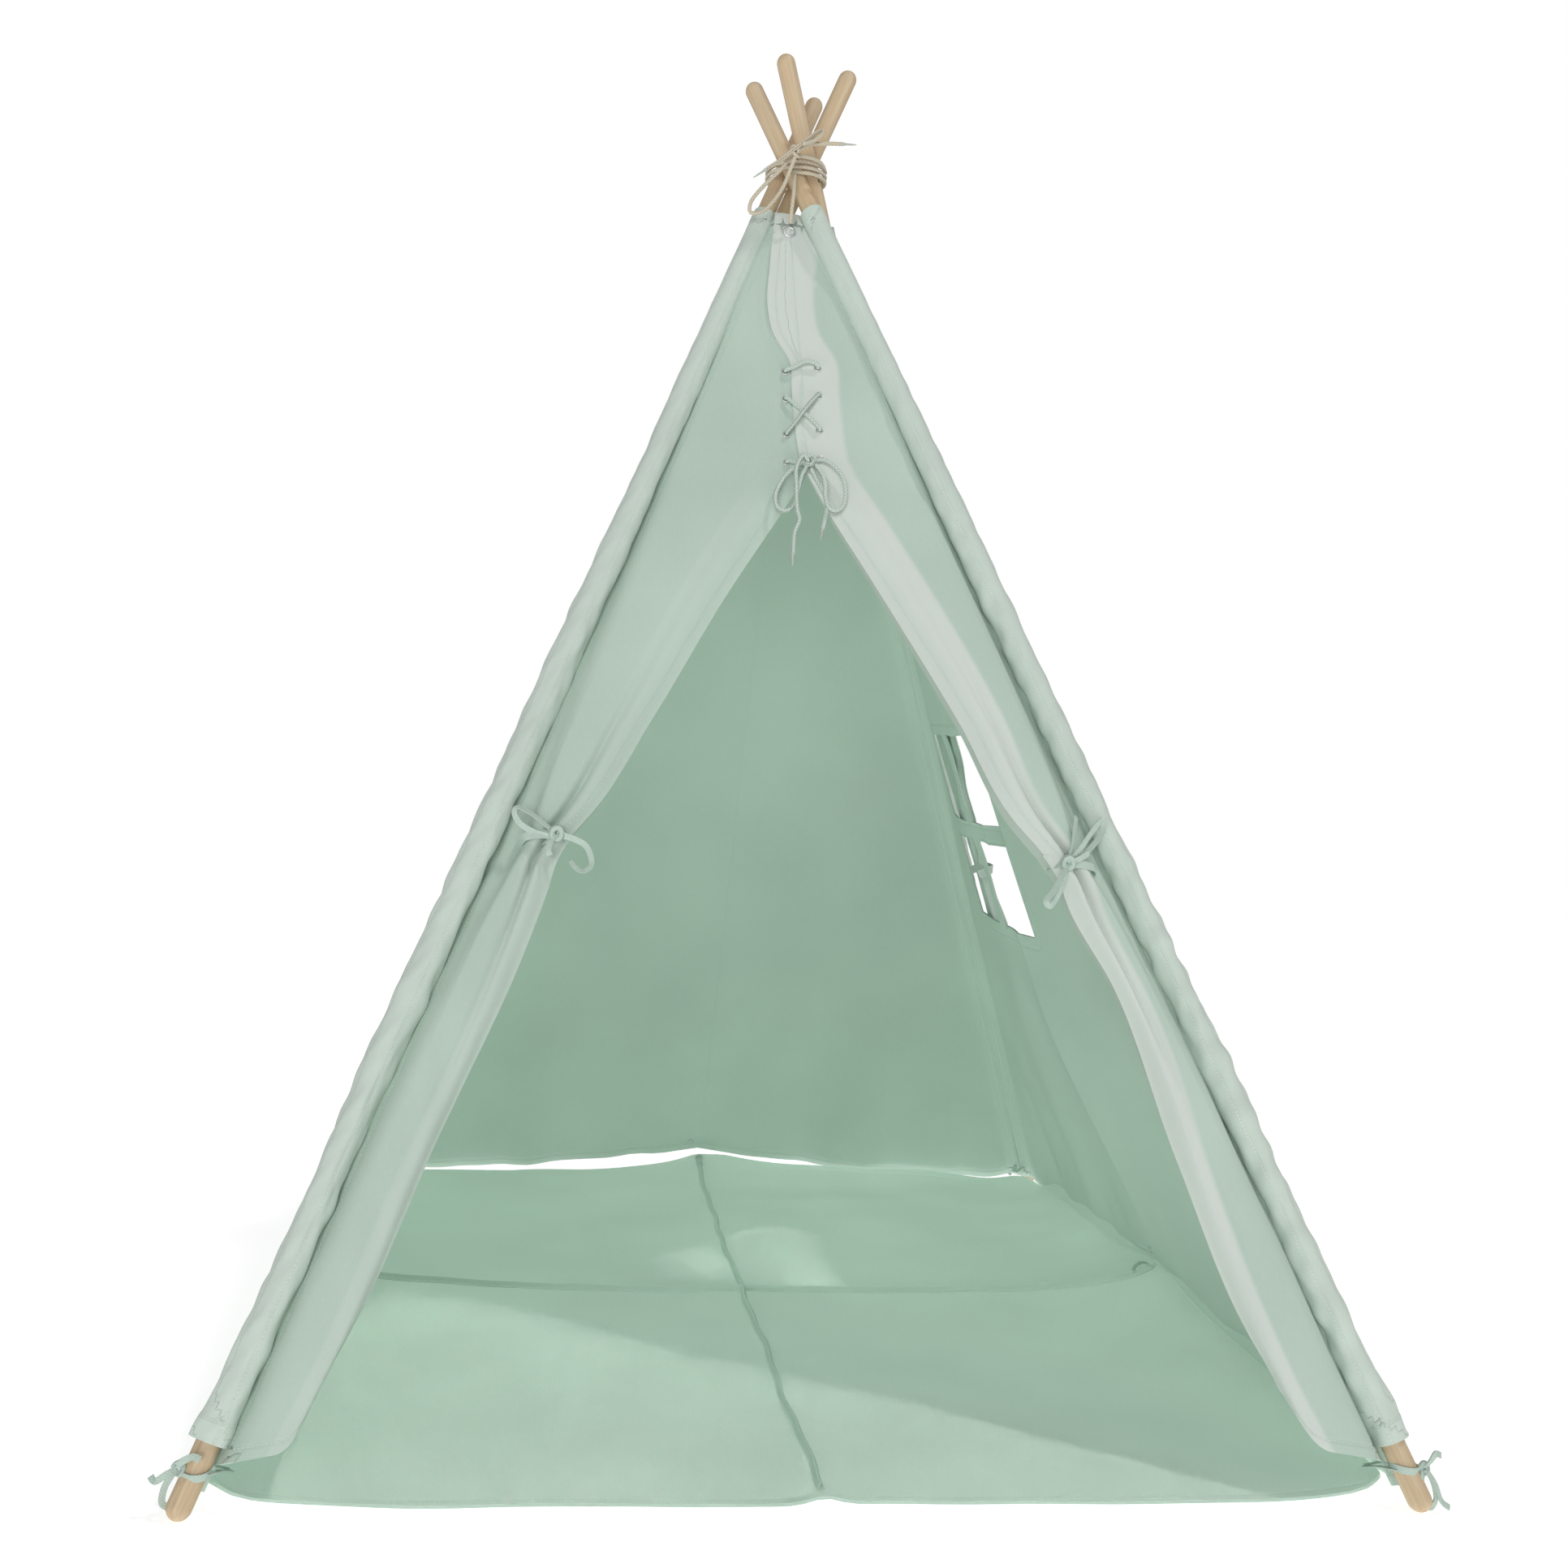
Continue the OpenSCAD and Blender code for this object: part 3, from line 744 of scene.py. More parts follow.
def free_cord(node, route, body, material, steps=4, tip=0.0):
    """One visible stretch of cord, along the same route as its CAD node."""
    path = spline(route, steps)
    piece = tube(node + "_braid", path, CORD_D / 2, material)
    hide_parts(node)
    if tip:
        aglet(node + "_aglet", path, tip, body)
    hang_on(piece, body)
    return piece


LASHING_R = 39 * MM
LASHING_TURNS = 2.25
LASHING_PITCH = 7 * MM
LASHING_DROP = 22 * MM
TURN_STEPS = 16
# The cords' routes are those of the CAD model, in millimetres.
strand_route = in_metres([(-12, -50, 1428), (-12, -56, 1444), (-10, -55, 1470), (-9, -47, 1492)])
loop_route = in_metres([
    (27, -36, 1514), (8, -50, 1514), (-15, -58, 1510), (-30, -62, 1490), (-51, -60, 1468),
    (-66, -57, 1448), (-66, -55, 1434), (-50, -55, 1437), (-36, -57, 1452), (-25, -60, 1470),
    (-18, -66, 1490), (-10, -70, 1512), (4, -66, 1524), (20, -60, 1529), (36, -55, 1533),
    (50, -52, 1535),
])
bow_route = in_metres([
    (-5, -84, 1517), (9, -74, 1526), (20, -68, 1537), (23, -63, 1545), (14, -66, 1541),
    (0, -74, 1526), (-16, -77, 1512), (-32, -68, 1500), (-47, -60, 1491),
])


def lashing_turns():
    """The turns round the crossing."""
    turns = np.arange(int(LASHING_TURNS * TURN_STEPS) + 1) / TURN_STEPS
    angles = np.radians(-100 + 360 * turns)
    return np.stack([
        LASHING_R * np.cos(angles), LASHING_R * np.sin(angles),
        crossing[2] - LASHING_DROP + LASHING_PITCH * turns], -1)


stitch_route = laced([
    (-21, 1212, 3), (-20, 1212, 6), (-10, 1216, 7), (4, 1224, 8),
    (16, 1224, 7), (20, 1221, 6), (21, 1220, 3)])
under_route = laced([
    (-21, 1174, 3), (-20, 1173, 6), (-8, 1163, 6), (2, 1153, 6),
    (12, 1144, 6), (20, 1135, 6), (21, 1134, 3)])
over_route = laced([
    (21, 1182, 3), (20, 1181, 7), (10, 1168, 11), (0, 1154, 12),
    (-10, 1140, 10), (-20, 1127, 7), (-21, 1126, 3)])
loop_left_route = laced([
    (-3, 1084, 14), (-15, 1074, 13), (-28, 1060, 11), (-37, 1040, 9), (-35, 1025, 8),
    (-25, 1020, 8), (-15, 1028, 8), (-10, 1045, 9), (-5, 1064, 11), (1, 1077, 13)])
loop_right_route = laced([
    (-21, 1088, 3), (-19, 1088, 5), (-8, 1086, 5), (5, 1085, 5), (14, 1089, 7), (22, 1090, 9),
    (33, 1084, 11), (44, 1071, 12), (49, 1054, 11), (47, 1034, 10), (38, 1024, 10), (28, 1026, 11),
    (24, 1040, 11), (24, 1054, 12), (21, 1068, 13), (13, 1080, 13)])
tail_left_route = laced([
    (4, 1088, 18), (-5, 1087, 20), (-13, 1070, 20), (-13, 1049, 17), (-12, 1022, 13),
    (-9, 1008, 11), (-15, 992, 9), (-17, 966, 8)])
tail_right_route = laced([
    (8, 1076, 10), (17, 1062, 5), (25, 1046, 4), (27, 1030, 4), (24, 1016, 4), (21, 1002, 5)])


def knot(name, centre, radius, material, body, turn=0):
    """A small knot: a cord wound twice over itself, turned about Z by so many radians."""
    t = np.linspace(0, 2 * math.pi, 72, endpoint=False)
    wind = np.stack([
        np.cos(2 * t) * (1 + 0.38 * np.cos(3 * t)),
        np.sin(2 * t) * (1 + 0.38 * np.cos(3 * t)),
        0.62 * np.sin(3 * t)], -1)
    rotation = Matrix.Rotation(turn + 0.4, 3, "Z") @ Matrix.Rotation(1.2, 3, "X")
    points = (radius * 0.62) * wind @ np.array(rotation).T + np.asarray(centre)
    piece = tube(name, np.concatenate([points, points[:2]]), CORD_D * 0.46, material, 10)
    hang_on(piece, body)
    return piece


def make_cords():
    lashing_route = np.concatenate([strand_route, lashing_turns(), loop_route])
    for node, route, steps in (("lashing_cord", lashing_route, 3), ("lashing_bow", bow_route, 5)):
        free_cord(node, route, "lashing", beige_cord, steps, 20 * MM)
    for node, route, lay in (
        ("lacing_stitch", stitch_route, "taut"), ("lacing_cross_under", under_route, "taut"),
        ("lacing_cross_over", over_route, "taut"), ("lacing_loop_left", loop_left_route, "hanging"),
        ("lacing_loop_right", loop_right_route, "hanging"),
    ):
        free_cord(node, route, "frame_fr", mint_cord, 5)
    for node, route in (("lacing_tail_left", tail_left_route), ("lacing_tail_right", tail_right_route)):
        free_cord(node, route, "frame_fr", mint_cord, 5, 16 * MM)
    lacing_knot = knot("lacing_knot_braid", laced([(4, 1085, 15)])[0], 9.5 * MM, mint_cord, "frame_fr")
    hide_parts("lacing_knot")
    lashing_knot = knot("lashing_knot", in_metres([-13, -68, 1512]), 9 * MM, beige_cord, "lashing", 1)


make_cords()

# ---- Poles ---------------------------------------------------------------------------------------

def paint_node(node, material):
    materials = frame["nodes"][node].data.materials
    materials.clear()
    materials.append(material)


def make_poles():
    for number, corner in enumerate(CORNERS):
        wood = wood_material("wood_" + corner, number)
        for part in ("lower", "middle", "upper"):
            paint_node(f"pole_{corner}_{part}", wood)
        paint_node(f"pole_{corner}_ferrules", aluminium)


make_poles()

# ---- Sleeves and walls ---------------------------------------------------------------------------

SIDE_NAMES = {FIRST: "left", SECOND: "right"}
SIDE_CORNERS = {FIRST: FRONT, SECOND: RIGHT}
SEAM_IN = 6 * MM


def facing_out(side):
    """The order of columns, given from a pole on, that makes a sheet's faces look outwards."""
    return slice(None, None, 1 if side == FIRST else -1)


def cloth(name, points, material, thickness, uv, side, holes=None, stitches=(), wrap=False):
    """A shell of canvas whose columns run from a pole, turned so that its faces look outwards."""
    order = facing_out(side)
    flipped = [(a[:, order], b[:, order]) for a, b in stitches]
    cells = None if holes is None else holes[:, order]
    piece = shell(name, points[:, order], material, thickness[:, order], uv[:, order], wrap, cells, flipped)
    return piece


def sleeve_ripples(corner, s, angle):
    """How the canvas of a sleeve stands off its pole: more and looser low down, close at the top."""
    place = np.stack([np.cos(angle) * 0.03, np.sin(angle) * 0.03, s], -1) + corner * 3.7
    fine = ripple(place * np.array([1, 1, 0.9]), 0.035, 11 + corner, 12)
    broad = ripple(place * np.array([1, 1, 0.5]), 0.11, 31 + corner, 10)
    low_down = 1 - smooth(s, 0.3, 1.5)
    room = 1 - 0.8 * smooth(s, sleeve_high - 0.35, sleeve_high - 0.05)
    return room * (0.65 + 0.85 * low_down) * (0.9 * fine + 1.3 * broad) * MM


def make_sleeve(corner):
    """The channel of canvas round one pole, open and hemmed at both ends."""
    rows, sides = 300, 36
    hem = 22 * MM
    hem_edge = hem * np.array([0.93, 1.0])
    even = np.linspace(sleeve_low, sleeve_high, rows)
    s = np.sort(np.concatenate([even, sleeve_low + hem_edge, sleeve_high - hem_edge]))
    angle = np.linspace(0, 2 * math.pi, sides, endpoint=False)
    up, turn = np.meshgrid(s, angle, indexing="ij")
    radius = SLEEVE_R + sleeve_ripples(corner, up, turn)
    radius = radius - 1.4 * MM * smooth(up, sleeve_high - 0.5, sleeve_high)
    pinch = np.cos(turn)
    radius = np.maximum(radius * (1 + 0.05 * pinch * np.abs(pinch)), POLE_R + 1.2 * MM)
    local = np.stack([radius * np.cos(turn), radius * np.sin(turn), up], -1)
    matrix = np.array(pole_frame(corner))
    points = local @ matrix[:3, :3].T + matrix[:3, 3]
    edge = np.minimum(up - sleeve_low, sleeve_high - up)
    thickness = CLOTH_T + 0.9 * MM * (1 - smooth(edge, hem * 0.92, hem))
    uv = np.stack([turn * SLEEVE_R, up], -1)
    stitches = [(edge - 0.88 * hem, turn * SLEEVE_R)]
    for way in (0.62, 1.38):
        stitches.append(((turn - way * math.pi) * SLEEVE_R, up))
    n = CORNERS[corner]
    name = "cloth_sleeve_" + n
    # The sleeve's canvas is painted paler, as painted light.
    piece = cloth(name, points, sleeve_canvas_painted_light, thickness, uv, SECOND, stitches=stitches, wrap=True)
    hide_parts("sleeve_" + n)
    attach(piece, "frame_" + n)


TUCK = 14 * MM
BESIDE = np.array([0, 3, 6, 8, 11, 14, 18, 23, 29, 37]) * MM


def tuck_depth(h):
    """How far in behind a sleeve the walls start, which is less where the poles draw together."""
    return TUCK * (1 - 0.5 * smooth(h, 0.9, wall_top))


def tucked(from_axis, h):
    """Beside a pole the cloth leaves the sleeve inwards, then turns out again into the wall."""
    depth = tuck_depth(h)
    a = np.maximum(from_axis, 0)
    return -depth * np.where(a < depth, a / depth, np.exp(-(((a - depth) / (0.8 * depth)) ** 2)))


def near_x(h, side):
    """Where a wall's cloth starts, inside the sleeve."""
    return pole_x(h, side) - side * 6 * MM


def spread(near, far, count):
    """Columns from a pole to a far edge, row by row: close together beside the pole and even after that."""
    width = far - near
    room = np.minimum(1, 0.6 * np.abs(width) / BESIDE[-1])
    close = near[:, None] + (np.sign(width) * room)[:, None] * BESIDE
    even = close[:, -1:] + (far[:, None] - close[:, -1:]) * np.linspace(0, 1, count + 1)[1:]
    return np.concatenate([close, even], 1)


def hem_line(x):
    """Height of a wall's lower edge: up beside the poles, down, and up again to the middle eyelet."""
    from_pole = half_gap - np.abs(x)
    lift = 16 * MM * np.exp(-((from_pole / (45 * MM)) ** 2))
    arch = 46 * MM * np.clip(1 - np.abs(x) / (430 * MM), 0, 1) ** 1.4
    return 9 * MM + lift + arch


def wall_sag(wall, x, h):
    """How far the canvas stands out of a wall's plane: a shallow hollow, soft pulls and a centre fold."""
    u = np.clip(x / np.maximum(pole_x(h, SECOND), 0.02), -1, 1)
    depth = -36 * MM if wall == RIGHT else -9 * MM
    hollow = depth * (1 - u**2) * smooth(h, 0.08, 0.45) * (1 - smooth(h, 0.85, 1.35))
    from_middle = np.abs(x - middle_x(h))
    crease = -8 * MM * np.exp(-from_middle / (55 * MM)) * (1 - smooth(h, 0.6, 1.2))
    place = np.stack([x, 0.35 * h, np.full_like(x, 0.7 * wall)], -1)
    pulls = ripple(place, 0.16, 50 + wall, 8) * 2.2 * MM
    near_hem = 1 - smooth(h, 0.02, 0.30)
    bottom = ripple(place * np.array([1.0, 0.4, 1.0]), 0.09, 70 + wall, 8) * 3.0 * MM * near_hem
    free = smooth(1 - np.abs(u), 0.0, 0.25)
    off_eyelet = 1 - np.exp(-(x**2 + (h - HEM_EYELET_H) ** 2) / (55 * MM) ** 2)
    from_axis = np.abs(pole_x(h, np.where(x > middle_x(h), SECOND, FIRST)) - x)
    return pinwheel(x, h) + (hollow + crease + (pulls + bottom) * free) * off_eyelet + tucked(from_axis, h)


def wall_rows(breaks, step=12 * MM):
    rows = [breaks[0]]
    for low, high in zip(breaks, breaks[1:]):
        count = max(2, int(round((high - low) / step)))
        rows.extend(low + (high - low) * np.arange(1, count + 1) / count)
    return np.array(rows)


EVEN_FROM = 100 * MM


def half_wall_grid(side, window):
    """Columns and heights of a half wall, with grid lines on the window's edges. Up to EVEN_FROM the rows
    follow the hem, and above it they are level."""
    levels = wall_rows([0.0, HEM_W, EVEN_FROM, window_low, window_high, wall_top])
    low_end = hem_line(half_gap)
    at_pole = np.where(levels < EVEN_FROM, low_end + levels * (EVEN_FROM - low_end) / EVEN_FROM, levels)
    near, middle = near_x(at_pole, side), middle_x(levels)
    edge = side * np.minimum(window or 0.35, 0.75 * np.abs(near - middle))
    outer = spread(near, edge, 18)
    inner = edge[:, None] + (middle - edge)[:, None] * np.linspace(0, 1, 19)[1:]
    x = np.concatenate([outer, inner], 1)
    level = np.broadcast_to(levels[:, None], x.shape)
    low = hem_line(x)
    h = np.where(level < EVEN_FROM, low + level * (EVEN_FROM - low) / EVEN_FROM, level)
    holes = None
    if window:
        rows = (levels[:-1] > window_low - 1e-6) & (levels[1:] < window_high + 1e-6)
        cols = np.arange(x.shape[1] - 1) >= outer.shape[1] - 1
        holes = rows[:, None] & cols[None, :]
    return x, h, low, holes


def make_half_wall(name, node, wall, side, window=None, pieces=()):
    """Canvas from inside a sleeve to the wall's middle line. pieces are sewn to it and go with it."""
    corner = (wall + (1 if side == SECOND else 0)) % 4
    x, h, low, holes = half_wall_grid(side, window)
    points = on_wall(wall, x, h, wall_sag(wall, x, h))
    from_window = np.full_like(x, 1.0)
    if window:
        beyond = np.maximum(side * x - window, 0)
        from_window = np.hypot(beyond, np.maximum(np.maximum(window_low - h, h - window_high), 0))
    from_hem = h - low
    thickness = CLOTH_T + 1.5 * MM * (1 - smooth(from_hem, HEM_W - 1 * MM, HEM_W + 2 * MM))
    thickness = np.where(from_window < 17 * MM, CLOTH_T + 1.2 * MM, thickness)
    from_axis = np.abs(pole_x(h, side) - x)
    stitches = [
        (from_hem - 0.85 * HEM_W, x), (from_axis - SLEEVE_R - SEAM_IN, h),
        (from_window - 3 * MM, x + h), (from_window - 15 * MM, x + h)]
    uv = np.stack([x, h / math.cos(slope)], -1)
    piece = cloth(name, points, canvas, thickness, uv, side, holes, stitches)
    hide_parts(node)
    crumple(piece, wall, corner)
    for extra in pieces:
        crumple(extra, wall, corner)


def window_bar(name, x_range, h_range):
    """A hemmed strip across the window, following the wall."""
    xs = np.linspace(*x_range, max(3, int(abs(x_range[1] - x_range[0]) / (8 * MM))))
    hs = np.linspace(*h_range, max(4, int((h_range[1] - h_range[0]) / (8 * MM))))
    x, h = np.meshgrid(xs, hs)
    out = wall_sag(RIGHT, x, h) - 1.2 * MM + 1.5 * MM * np.sin(h * 41 + x * 23)
    points = on_wall(RIGHT, x, h, out)
    uv = np.stack([x, h], -1)
    tall = h_range[1] - h_range[0] > abs(x_range[1] - x_range[0])
    low, high = x_range if tall else h_range
    across, along = (x, h) if tall else (h, x)
    from_side = np.minimum(across - low, high - across)
    return shell(name, points, canvas, CLOTH_T * 1.6, uv, stitches=[(from_side - 4 * MM, along)])


def make_window_bars():
    middle = (window_low + window_high) / 2
    centre = (window_rear - window_front) / 2
    seam = middle_x(middle)
    level = (middle - BAR_W / 2, middle + BAR_W / 2)
    overlap = 4 * MM
    rear = window_bar("bar_level", (seam, window_rear + overlap), level)
    beside = (centre - BAR_W / 2, centre + BAR_W / 2)
    upright = window_bar("bar_upright", beside, (window_low - overlap, window_high + overlap))
    rear = join("cloth_right_bars_rear", [rear, upright])
    front = window_bar("cloth_right_bars_front", (-window_front - overlap, seam), level)
    for piece, node in ((rear, "window_bars_rear"), (front, "window_bars_front")):
        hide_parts(node)
    return rear, front


CURTAIN_W, CURTAIN_H = 0.24, 0.32


def make_curtain():
    """The window's curtain, hanging outside from the top edge and tied back in folds at the rear."""
    v, u = np.meshgrid(np.linspace(0, 1, 60), np.linspace(0, 1, 72), indexing="ij")
    top, tie_level, bottom = window_high + 14 * MM, window_low + 60 * MM, window_low - 22 * MM
    h = top + (bottom - top) * v
    front_edge = curve_through(
        [(bottom, 0.184), (tie_level, 0.190), (0.70, 0.130), (0.76, 0.040), (top, 0.006)], h)
    rear_edge = curve_through([(bottom, 0.234), (tie_level, 0.226), (0.70, 0.234), (top, 0.238)], h)
    x = front_edge + (rear_edge - front_edge) * u
    gathered = smooth(v, 0.02, 0.6)
    at_tie = np.exp(-(((h - tie_level) / 0.05) ** 2))
    folds = np.sin(2 * math.pi * (4.2 * u + 0.25 * np.sin(5 * v)))
    waves = folds * (1.5 * MM + 8 * MM * gathered * (1 - 0.55 * at_tie))
    out = wall_sag(RIGHT, x, h) + 6 * MM + 10 * MM * gathered * (1 - 0.4 * at_tie) + waves
    points = on_wall(RIGHT, x, h, out)
    uv = np.stack([u * CURTAIN_W, v * CURTAIN_H], -1)
    from_edge = np.minimum(u, 1 - u) * CURTAIN_W
    from_hem = (1 - v) * CURTAIN_H
    stitches = [(from_edge - 8 * MM, v * CURTAIN_H), (from_hem - 9 * MM, u * CURTAIN_W)]
    curtain = shell("cloth_curtain", points, canvas, CLOTH_T, uv, stitches=stitches)
    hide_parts("window_curtain")
    crumple(curtain, RIGHT, BACK, "curtain")
    make_curtain_tie(tie_level)


def make_curtain_tie(tie_level):
    x, h, out = np.array([
        (0.176, tie_level, 3 * MM), (0.180, tie_level, 22 * MM), (0.206, tie_level - 3 * MM, 29 * MM),
        (0.232, tie_level, 22 * MM), (0.240, tie_level, 3 * MM),
    ]).T
    route = on_wall(RIGHT, x, h, out + wall_sag(RIGHT, x, h))
    centre = on_wall(RIGHT, 0.206, tie_level, 0.0)
    tie = ribbon("tape_curtain_tie", route, 12 * MM, 0.9 * MM, route - centre, tape)
    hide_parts("curtain_tie")
    crumple(tie, RIGHT, BACK, "curtain")


def make_walls():
    bars_rear, bars_front = make_window_bars()
    make_half_wall("cloth_left_front", "left_wall_front", LEFT, SECOND)
    make_half_wall("cloth_left_rear", "left_wall_rear", LEFT, FIRST)
    make_half_wall("cloth_back_left", "back_wall_left", BACK, SECOND)
    make_half_wall("cloth_back_right", "back_wall_right", BACK, FIRST)
    make_half_wall("cloth_right_rear", "right_wall_rear", RIGHT, SECOND, window_rear, [bars_rear])
    make_half_wall("cloth_right_front", "right_wall_front", RIGHT, FIRST, window_front, [bars_front])
    make_curtain()


for corner in range(4):
    make_sleeve(corner)
make_walls()

# ---- Front ---------------------------------------------------------------------------------------

# The door's edge on each side: (height, distance from the middle), from the tie up.
DOOR_EDGE = {
    FIRST: [
        (0.600, 0.288), (0.632, 0.264), (0.651, 0.248), (0.760, 0.183), (0.935, 0.085), (door_top, -0.004)],
    SECOND: [
        (0.600, 0.278), (0.626, 0.262), (0.660, 0.233), (0.776, 0.175), (0.944, 0.082), (door_top, 0.004)],
}
# The gathered flap's inner edge, from the hem up to the tie.
FLAP_EDGE = {
    FIRST: [
        (0.06, 0.486), (0.132, 0.452), (0.293, 0.392), (0.490, 0.314), (0.560, 0.292), (0.600, 0.281),
        (0.640, 0.258)],
    SECOND: [
        (0.06, 0.470), (0.119, 0.442), (0.290, 0.384), (0.477, 0.330), (0.560, 0.288), (0.600, 0.275),
        (0.640, 0.250)],
}


LAPPED_FROM = door_top + 20 * MM


def placket_x(h):
    """Where the right panel's edge lies over the left one."""
    return curve_through(
        [(door_top, 0.0), (1.12, -0.007), (1.19, -0.012), (1.225, -0.013), (1.27, -0.036), (1.30, -0.041),
         (1.37, -0.037), (wall_top, -0.030)], h)


def add_facing_painted_light(piece, from_edge, h, amount, side):
    """Marks the band along a door's edge where the canvas is doubled, for the paler colour of painted light
    there. The ties gather it.
    """
    width = curve_through([(0.0, 0.040), (tie_h, 0.036), (tie_h + 0.25, 0.052), (door_top, 0.060)], h)
    band = amount * (1 - smooth(from_edge, width - 3 * MM, width + 3 * MM))
    set_attribute(piece, "facing", np.concatenate([band[:, facing_out(side)].ravel()] * 2))


def panel_edge(h, side):
    """A panel's inner edge: the door's edge, then the lapped edge above the door."""
    door = side * curve_through(DOOR_EDGE[side], h)
    lapped = placket_x(h) + (13 * MM if side == FIRST else -1 * MM)
    at_top = side * DOOR_EDGE[side][-1][1]
    return np.where(h < door_top, door, lapped + (at_top - lapped) * (1 - smooth(h, door_top, LAPPED_FROM)))


def add_lip(x, edge, reach, lip):
    """Adds columns that reach beyond an edge, where the cloth rolls in, and says how far beyond each is."""
    x = np.concatenate([x, edge[:, None] + reach * lip], 1)
    beyond = np.concatenate([np.zeros(x.shape[1] - len(lip)), lip])[None, :] * np.ones_like(x)
    return x, beyond


def gathered_fold(h, from_axis, across):
    """The fold that the door ties draw up: a ridge beside the sleeve, with a crease and a strip in it."""
    far = np.abs(h - tie_h)
    ridge_at = (26 + 24 * np.exp(-far / 0.18)) * MM
    height = 17 * MM * np.exp(-far / 0.30)
    ridge = height * smooth(from_axis, ridge_at - 6 * MM, ridge_at + 4 * MM)
    crease = -16 * MM * np.exp(-far / 0.13) * np.exp(-(((across - 0.70) / 0.05) ** 2))
    strip = -5 * MM * np.exp(-far / 0.12) * np.exp(-(((from_axis - ridge_at + 10 * MM) / (6 * MM)) ** 2))
    return ridge + crease + strip


def lapped_steps(side, x, h, open_door):
    """Above the door the left panel dips under the right one's edge, which lies over the lap."""
    from_placket = np.abs(x - placket_x(h))
    if side == FIRST:
        return -1.8 * MM * (1 - open_door) * (1 - smooth(from_placket, 9 * MM, 17 * MM))
    beside_lap = 1 - smooth(from_placket, 30 * MM, 45 * MM)
    shelf = 1.2 * MM * (1 - open_door) * smooth(h, 1.235, 1.30) * beside_lap
    return shelf * (1 - smooth(h, 1.36, 1.40))


def panel_depth(side, x, h, across, beyond, span, open_door):
    """How far a front panel stands out of the wall's plane. It is flat where it is laced shut."""
    from_axis = np.abs(pole_x(h, side) - x)
    gather = np.exp(-(h - tie_h) / 0.075)
    arch = np.sin(math.pi * across ** (0.8 if side == FIRST else 1.1))
    below_lacing = 1 - smooth(h, door_top - 0.34, door_top + 0.03)
    belly = (0.11 * span * (1 - gather) * below_lacing + 2 * MM * (1 - below_lacing)) * arch
    roll = open_door * (-10 * MM * smooth(across, 0.75, 1.0) ** 2 - 12 * MM * beyond)
    place = np.stack([x, 0.3 * h, np.full_like(x, side * 0.8)], -1)
    swell = ripple(place, 0.12, 90 + side, 8) * 2.0 * MM * smooth(across, 0, 0.2) * (1 - 0.5 * gather)
    laced_shut = smooth(h, door_top - 0.12, door_top)
    flat = 1 - laced_shut * (1 - smooth(np.abs(x - placket_x(h)), 32 * MM, 80 * MM))
    steps = lapped_steps(side, x, h, open_door)
    out = (pinwheel(x, h) + belly + swell) * flat + roll + steps + tucked(from_axis, h)
    return out + gathered_fold(h, from_axis, across) * open_door * (1 - beyond)


def make_front_panel(side):
    """The upper front: from the sleeve to the door's edge, laced above the door and gathered at the tie."""
    corner, name = SIDE_CORNERS[side], SIDE_NAMES[side]
    top = wall_top + 9 * MM
    heights = wall_rows([tie_h - 6 * MM, tie_h + 0.12, door_top, LAPPED_FROM, 1.33, top], 9 * MM)
    near, edge = near_x(heights, side), panel_edge(heights, side)
    open_rows = 1 - smooth(heights, door_top - 0.06, door_top)
    reach = side * 5 * MM * open_rows[:, None]
    x, beyond = add_lip(spread(near, edge, 34), edge, reach, np.array([0.25, 0.5, 0.75, 1.0]))
    h = np.broadcast_to(heights[:, None], x.shape)
    span = np.abs(edge - near)[:, None]
    across = np.where(beyond > 0, 1.0, np.abs(x - near[:, None]) / span)
    from_axis = np.abs(pole_x(h, side) - x)
    open_door = np.broadcast_to(open_rows[:, None], x.shape)
    points = on_wall(FRONT, x, h, panel_depth(side, x, h, across, beyond, span, open_door))
    from_edge = span * (1 - across)
    thickness = CLOTH_T + 1.1 * MM * (1 - smooth(from_edge, 13 * MM, 15 * MM))
    stitches = [
        (from_edge - 11 * MM + beyond, h), (from_axis - SLEEVE_R - SEAM_IN, h), (top - h - 18 * MM, x)]
    if side == SECOND:
        seam = curve_through([(1.10, -0.001), (1.184, 0.001), (1.329, -0.007), (1.43, -0.010)], h)
        stitches.append((np.where(h > 1.10, x - seam, 1.0), h))
    uv = np.stack([x, h / math.cos(slope)], -1)
    piece = cloth("cloth_front_" + name, points, canvas, thickness, uv, side, None, stitches)
    # Painted light: the right panel's band is painted fully paler and the left one's only faintly, as if
    # the right side were lit more.
    add_facing_painted_light(piece, from_edge, h, 1.0 if side == SECOND else 0.15 * open_door, side)
    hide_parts("front_panel_" + name)
    crumple(piece, FRONT, corner)


def flap_depth(side, x, h, across, beyond):
    """How far a flap stands out of the wall's plane."""
    from_axis = np.abs(pole_x(h, side) - x)
    gather = np.exp(-(tie_h - h) / 0.085)
    broad = 13 * MM * np.sin(math.pi * np.clip(across, 0, 1) ** 0.8) * (1 - gather)
    place = np.stack([2.2 * x, 0.35 * h, np.full_like(x, side * 0.4)], -1)
    swell = ripple(place, 0.10, 120 + side, 8) * 1.8 * MM * smooth(across, 0, 0.15) * (1 - gather)
    roll = -9 * MM * smooth(across, 0.70, 1.0) ** 2 - 16 * MM * beyond
    out = broad + swell + roll + pinwheel(x, h) + tucked(from_axis, h)
    return out + gathered_fold(h, from_axis, across) * (1 - beyond)


